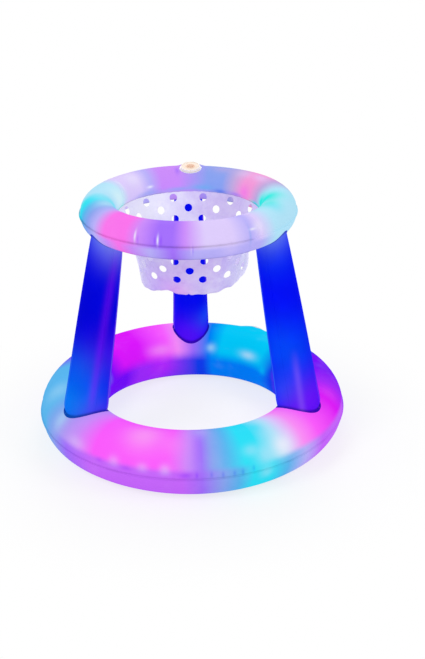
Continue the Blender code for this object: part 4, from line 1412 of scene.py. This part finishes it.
# Profiles, as above. A welded plate whose outer edge thins out onto the film:
PAD = ((8.4, 1.2), (8.4, -6), (15.6, -6), (16.2, -1.4), (14.6, 0.5), (13.2, 1.15))
# A flanged mouth and a soft tube through the pad:
STEM = ((4.2, 1.2), (4.2, -13.8), (6.4, -13.8), (6.4, 0.2), (8.0, 0.2), (8.0, 1.2))
# A plug, and a cap on the stem's mouth:
STOPPER = (
    (0, -3.0), (2.6, -3.0), (3.8, 1.5), (6.0, 1.5), (6.0, 2.9), (3.0, 2.9), (2.4, 2.6),
    (0, 2.6),
)
# The strap: its middle, half its length, half width, the tab's extra, height and half depth.
STRAP_MIDDLE, STRAP_REACH, STRAP_HALF, TAB_EXTRA, STRAP_HEIGHT, STRAP_DEPTH = (
    1.2 * MM, 8.8 * MM, 2.0 * MM, 0.9 * MM, 2.0 * MM, 0.5 * MM
)
# Where the tab is, from -1 to 1 along the strap, its spread, and the strap's least half width.
TAB_PLACE, TAB_SPREAD, STRAP_LEAST, STRAP_ROWS, STRAP_STEPS = 0.82, 0.14, 0.3 * MM, 41, 16


def stopper_shape(seat):
    """The stopper: a turned cap and plug, and a strap with a round pull tab.

    The strap's half width is a flat oval of its length plus a bell at the tab, and its
    section is a rounded square: the square roots of the cosine and of the sine.
    """
    cap = turned(rounded(STOPPER, 0.3, 4, False) * MM, STOPPER_STEPS, False)
    t = np.linspace(-1, 1, STRAP_ROWS)
    half = STRAP_HALF * (1 - np.abs(t) ** 8) ** 0.5
    half = half + TAB_EXTRA * bell((t - TAB_PLACE) / TAB_SPREAD) * (1 - np.abs(t) ** 12)
    half = np.maximum(half, STRAP_LEAST)[:, None]
    angle = around(STRAP_STEPS)
    wide, high = (np.sign(v) * np.abs(v) ** 0.5 for v in (np.cos(angle), np.sin(angle)))
    along = (STRAP_MIDDLE + STRAP_REACH * t)[:, None]
    strap = stacked(along, half * wide, STRAP_HEIGHT + STRAP_DEPTH * high)
    points, faces = joined((cap, (strap, grid_faces(STRAP_ROWS, STRAP_STEPS, False))))
    return placed(points, seat), faces


class HOOP_OT_valves(bpy.types.Operator):
    """Make each ring's valve: pad, stem and stopper"""

    bl_idname = "hoop.valves"
    bl_label = "Valves"

    def execute(self, context):
        paint = plain_paint(
            "valve_vinyl", hue("vinyl"), 0.28, subsurface_weight=0.2, subsurface_scale=2 * MM
        )
        for ring in RINGS:
            seat, stem, stopper = ring.valve, f"{ring.name}_stem", f"{ring.name}_stopper"
            pieces = (
                ("pad", "ring", turned_at(seat, PAD, 0.5), "float"),
                ("stem", "tube", turned_at(seat, STEM, 0.25), stem),
                ("stopper", "cap", stopper_shape(seat), stopper),
            )
            for word, form, shape, body in pieces:
                name = f"{ring.name}_valve_{word}"
                add_piece(f"{name}_{form}", shape, paint, [name], body)
        return {"FINISHED"}


# Stage

# The camera's place, its heading, pitch down and roll in degrees, and its lens.
CAMERA_PLACE = (0.0004, -2.8421, 1.6015)
CAMERA_TURN = (1.18, 24.71, -0.70)
CAMERA_LENS = 62.5
# Soft lamps: place, aim, side in metres, power in watts.
LAMPS = (
    ((-1.7, -1.9, 2.5), (0, 0, 0.35), 1.3, 40),
    ((2.0, -1.3, 1.7), (0, 0, 0.4), 1.2, 17),
    ((0.3, 1.9, 2.2), (0, 0, 0.5), 1.6, 22),
)
# Radii of the floor's rings, its height, and between which it turns to plain white.
FLOOR_RADII = (0.0, 0.5, 1.0, 2.0, 4.0, 9.0)
FLOOR_HEIGHT, FLOOR_NEAR, FLOOR_FAR = -0.05 * MM, 0.36, 0.80
WORLD_LIGHT = 0.5


def facing(place, target):
    """A turn that points an object's -Z axis from place at target."""
    return (Vector(target) - Vector(place)).to_track_quat("-Z", "Y").to_euler()


def seen_directly(nodes):
    """1 for a ray from the camera, or one that a gloss or a clear piece sends on."""
    seen = nodes.node("LightPath", output="Is Camera Ray")
    for name in ("Is Glossy Ray", "Is Transmission Ray"):
        seen = nodes.math("MAXIMUM", seen, nodes.node("LightPath", output=name))
    return seen


def whiten(nodes, own, kind, share, output):
    """Mixes plain white into what a tree shows, by share."""
    white = nodes.node(kind, sockets={"Color": (1, 1, 1), "Strength": 1.0})
    own = Socket(nodes, nodes.tree.nodes[own].outputs[0])
    mixed = nodes.node("MixShader", sockets={0: share, 1: own, 2: white})
    nodes.fill(nodes.tree.nodes[output].inputs["Surface"], mixed)


class HOOP_OT_stage(bpy.types.Operator):
    """Set the floor, the world, the lamps and the camera"""

    bl_idname = "hoop.stage"
    bl_label = "Stage"

    def execute(self, context):
        scene = context.scene
        scene.view_settings.view_transform = "Standard"
        self.add_floor(scene)
        self.light_world(scene)
        for i, (place, target, side, power) in enumerate(LAMPS):
            lamp = bpy.data.lights.new(f"lamp_{i + 1}", "AREA")
            lamp.size, lamp.energy = side, power
            obj = bpy.data.objects.new(lamp.name, lamp)
            scene.collection.objects.link(obj)
            obj.location, obj.rotation_euler = place, facing(place, target)
        self.add_camera(scene)
        return {"FINISHED"}

    @staticmethod
    def add_camera(scene):
        """A camera from its heading, its pitch down and its roll, in degrees."""
        camera = bpy.data.objects.new("camera", bpy.data.cameras.new("camera"))
        camera.data.lens = CAMERA_LENS
        yaw, pitch, roll = (math.radians(v) for v in CAMERA_TURN)
        turn = Matrix.Rotation(-yaw, 3, "Z") @ Matrix.Rotation(math.pi / 2 - pitch, 3, "X")
        turn = turn @ Matrix.Rotation(roll, 3, "Z")
        camera.rotation_euler = turn.to_euler()
        camera.location = CAMERA_PLACE
        scene.collection.objects.link(camera)
        scene.camera = camera

    @staticmethod
    def add_floor(scene):
        """A pale disc that fades to white well away from the hoop, and keeps its shadow."""
        profile = np.array([(radius, FLOOR_HEIGHT) for radius in FLOOR_RADII])
        points, faces = turned(profile, FLOOR_STEPS, False)
        mesh = make_mesh("floor", points, faces[:, ::-1], closed=False)
        floor = bpy.data.objects.new("floor", mesh)
        scene.collection.objects.link(floor)
        paint = Paint("floor", roughness=0.9, specular_ior_level=0.1)
        spot = paint.spot()
        x, y, _ = paint.parts(spot)
        grain = paint.noise(spot, 30.0)
        paint.set(base_color=paint.mix(grain, (0.91, 0.91, 0.92), (0.94, 0.94, 0.95)))
        share = paint.between(paint.hypot(x, y), FLOOR_NEAR, FLOOR_FAR, 0.75, 1.0)
        share = share * seen_directly(paint)
        whiten(paint, "Principled BSDF", "Emission", share, "Material Output")
        floor.data.materials.append(paint.material)

    @staticmethod
    def light_world(scene):
        """Soft white light from all round, and plain white where it is seen."""
        world = scene.world = bpy.data.worlds.new("studio")
        world.use_nodes = True
        nodes = Nodes(world.node_tree)
        soft = nodes.tree.nodes["Background"].inputs
        nodes.fill(soft["Color"], (1, 1, 1))
        nodes.fill(soft["Strength"], WORLD_LIGHT)
        whiten(nodes, "Background", "Background", seen_directly(nodes), "World Output")


class HOOP_PT_panel(bpy.types.Panel):
    """The hoop's tools in the sidebar"""

    bl_idname = "HOOP_PT_panel"
    bl_label = "Floating hoop"
    bl_space_type = "VIEW_3D"
    bl_region_type = "UI"
    bl_category = "Hoop"

    def draw(self, context):
        for operator in OPERATORS:
            self.layout.operator(operator.bl_idname)
        for group in (context.scene.hoop_form, context.scene.hoop_glow):
            for name in group.__annotations__:
                self.layout.prop(group, name)


OPERATORS = (
    HOOP_OT_rings, HOOP_OT_legs, HOOP_OT_net, HOOP_OT_lights, HOOP_OT_valves, HOOP_OT_stage,
)
CLASSES = (HoopGlow, HoopForm, *OPERATORS, HOOP_PT_panel)


def register():
    for each in CLASSES:
        bpy.utils.register_class(each)
    bpy.types.Scene.hoop_glow = PointerProperty(type=HoopGlow)
    bpy.types.Scene.hoop_form = PointerProperty(type=HoopForm)


def unregister():
    del bpy.types.Scene.hoop_glow
    del bpy.types.Scene.hoop_form
    for each in reversed(CLASSES):
        bpy.utils.unregister_class(each)


def main():
    """Builds the looks piece by piece."""
    register()
    for operator in OPERATORS:
        group, name = operator.bl_idname.split(".")
        getattr(getattr(bpy.ops, group), name)()


if __name__ == "__main__":
    main()
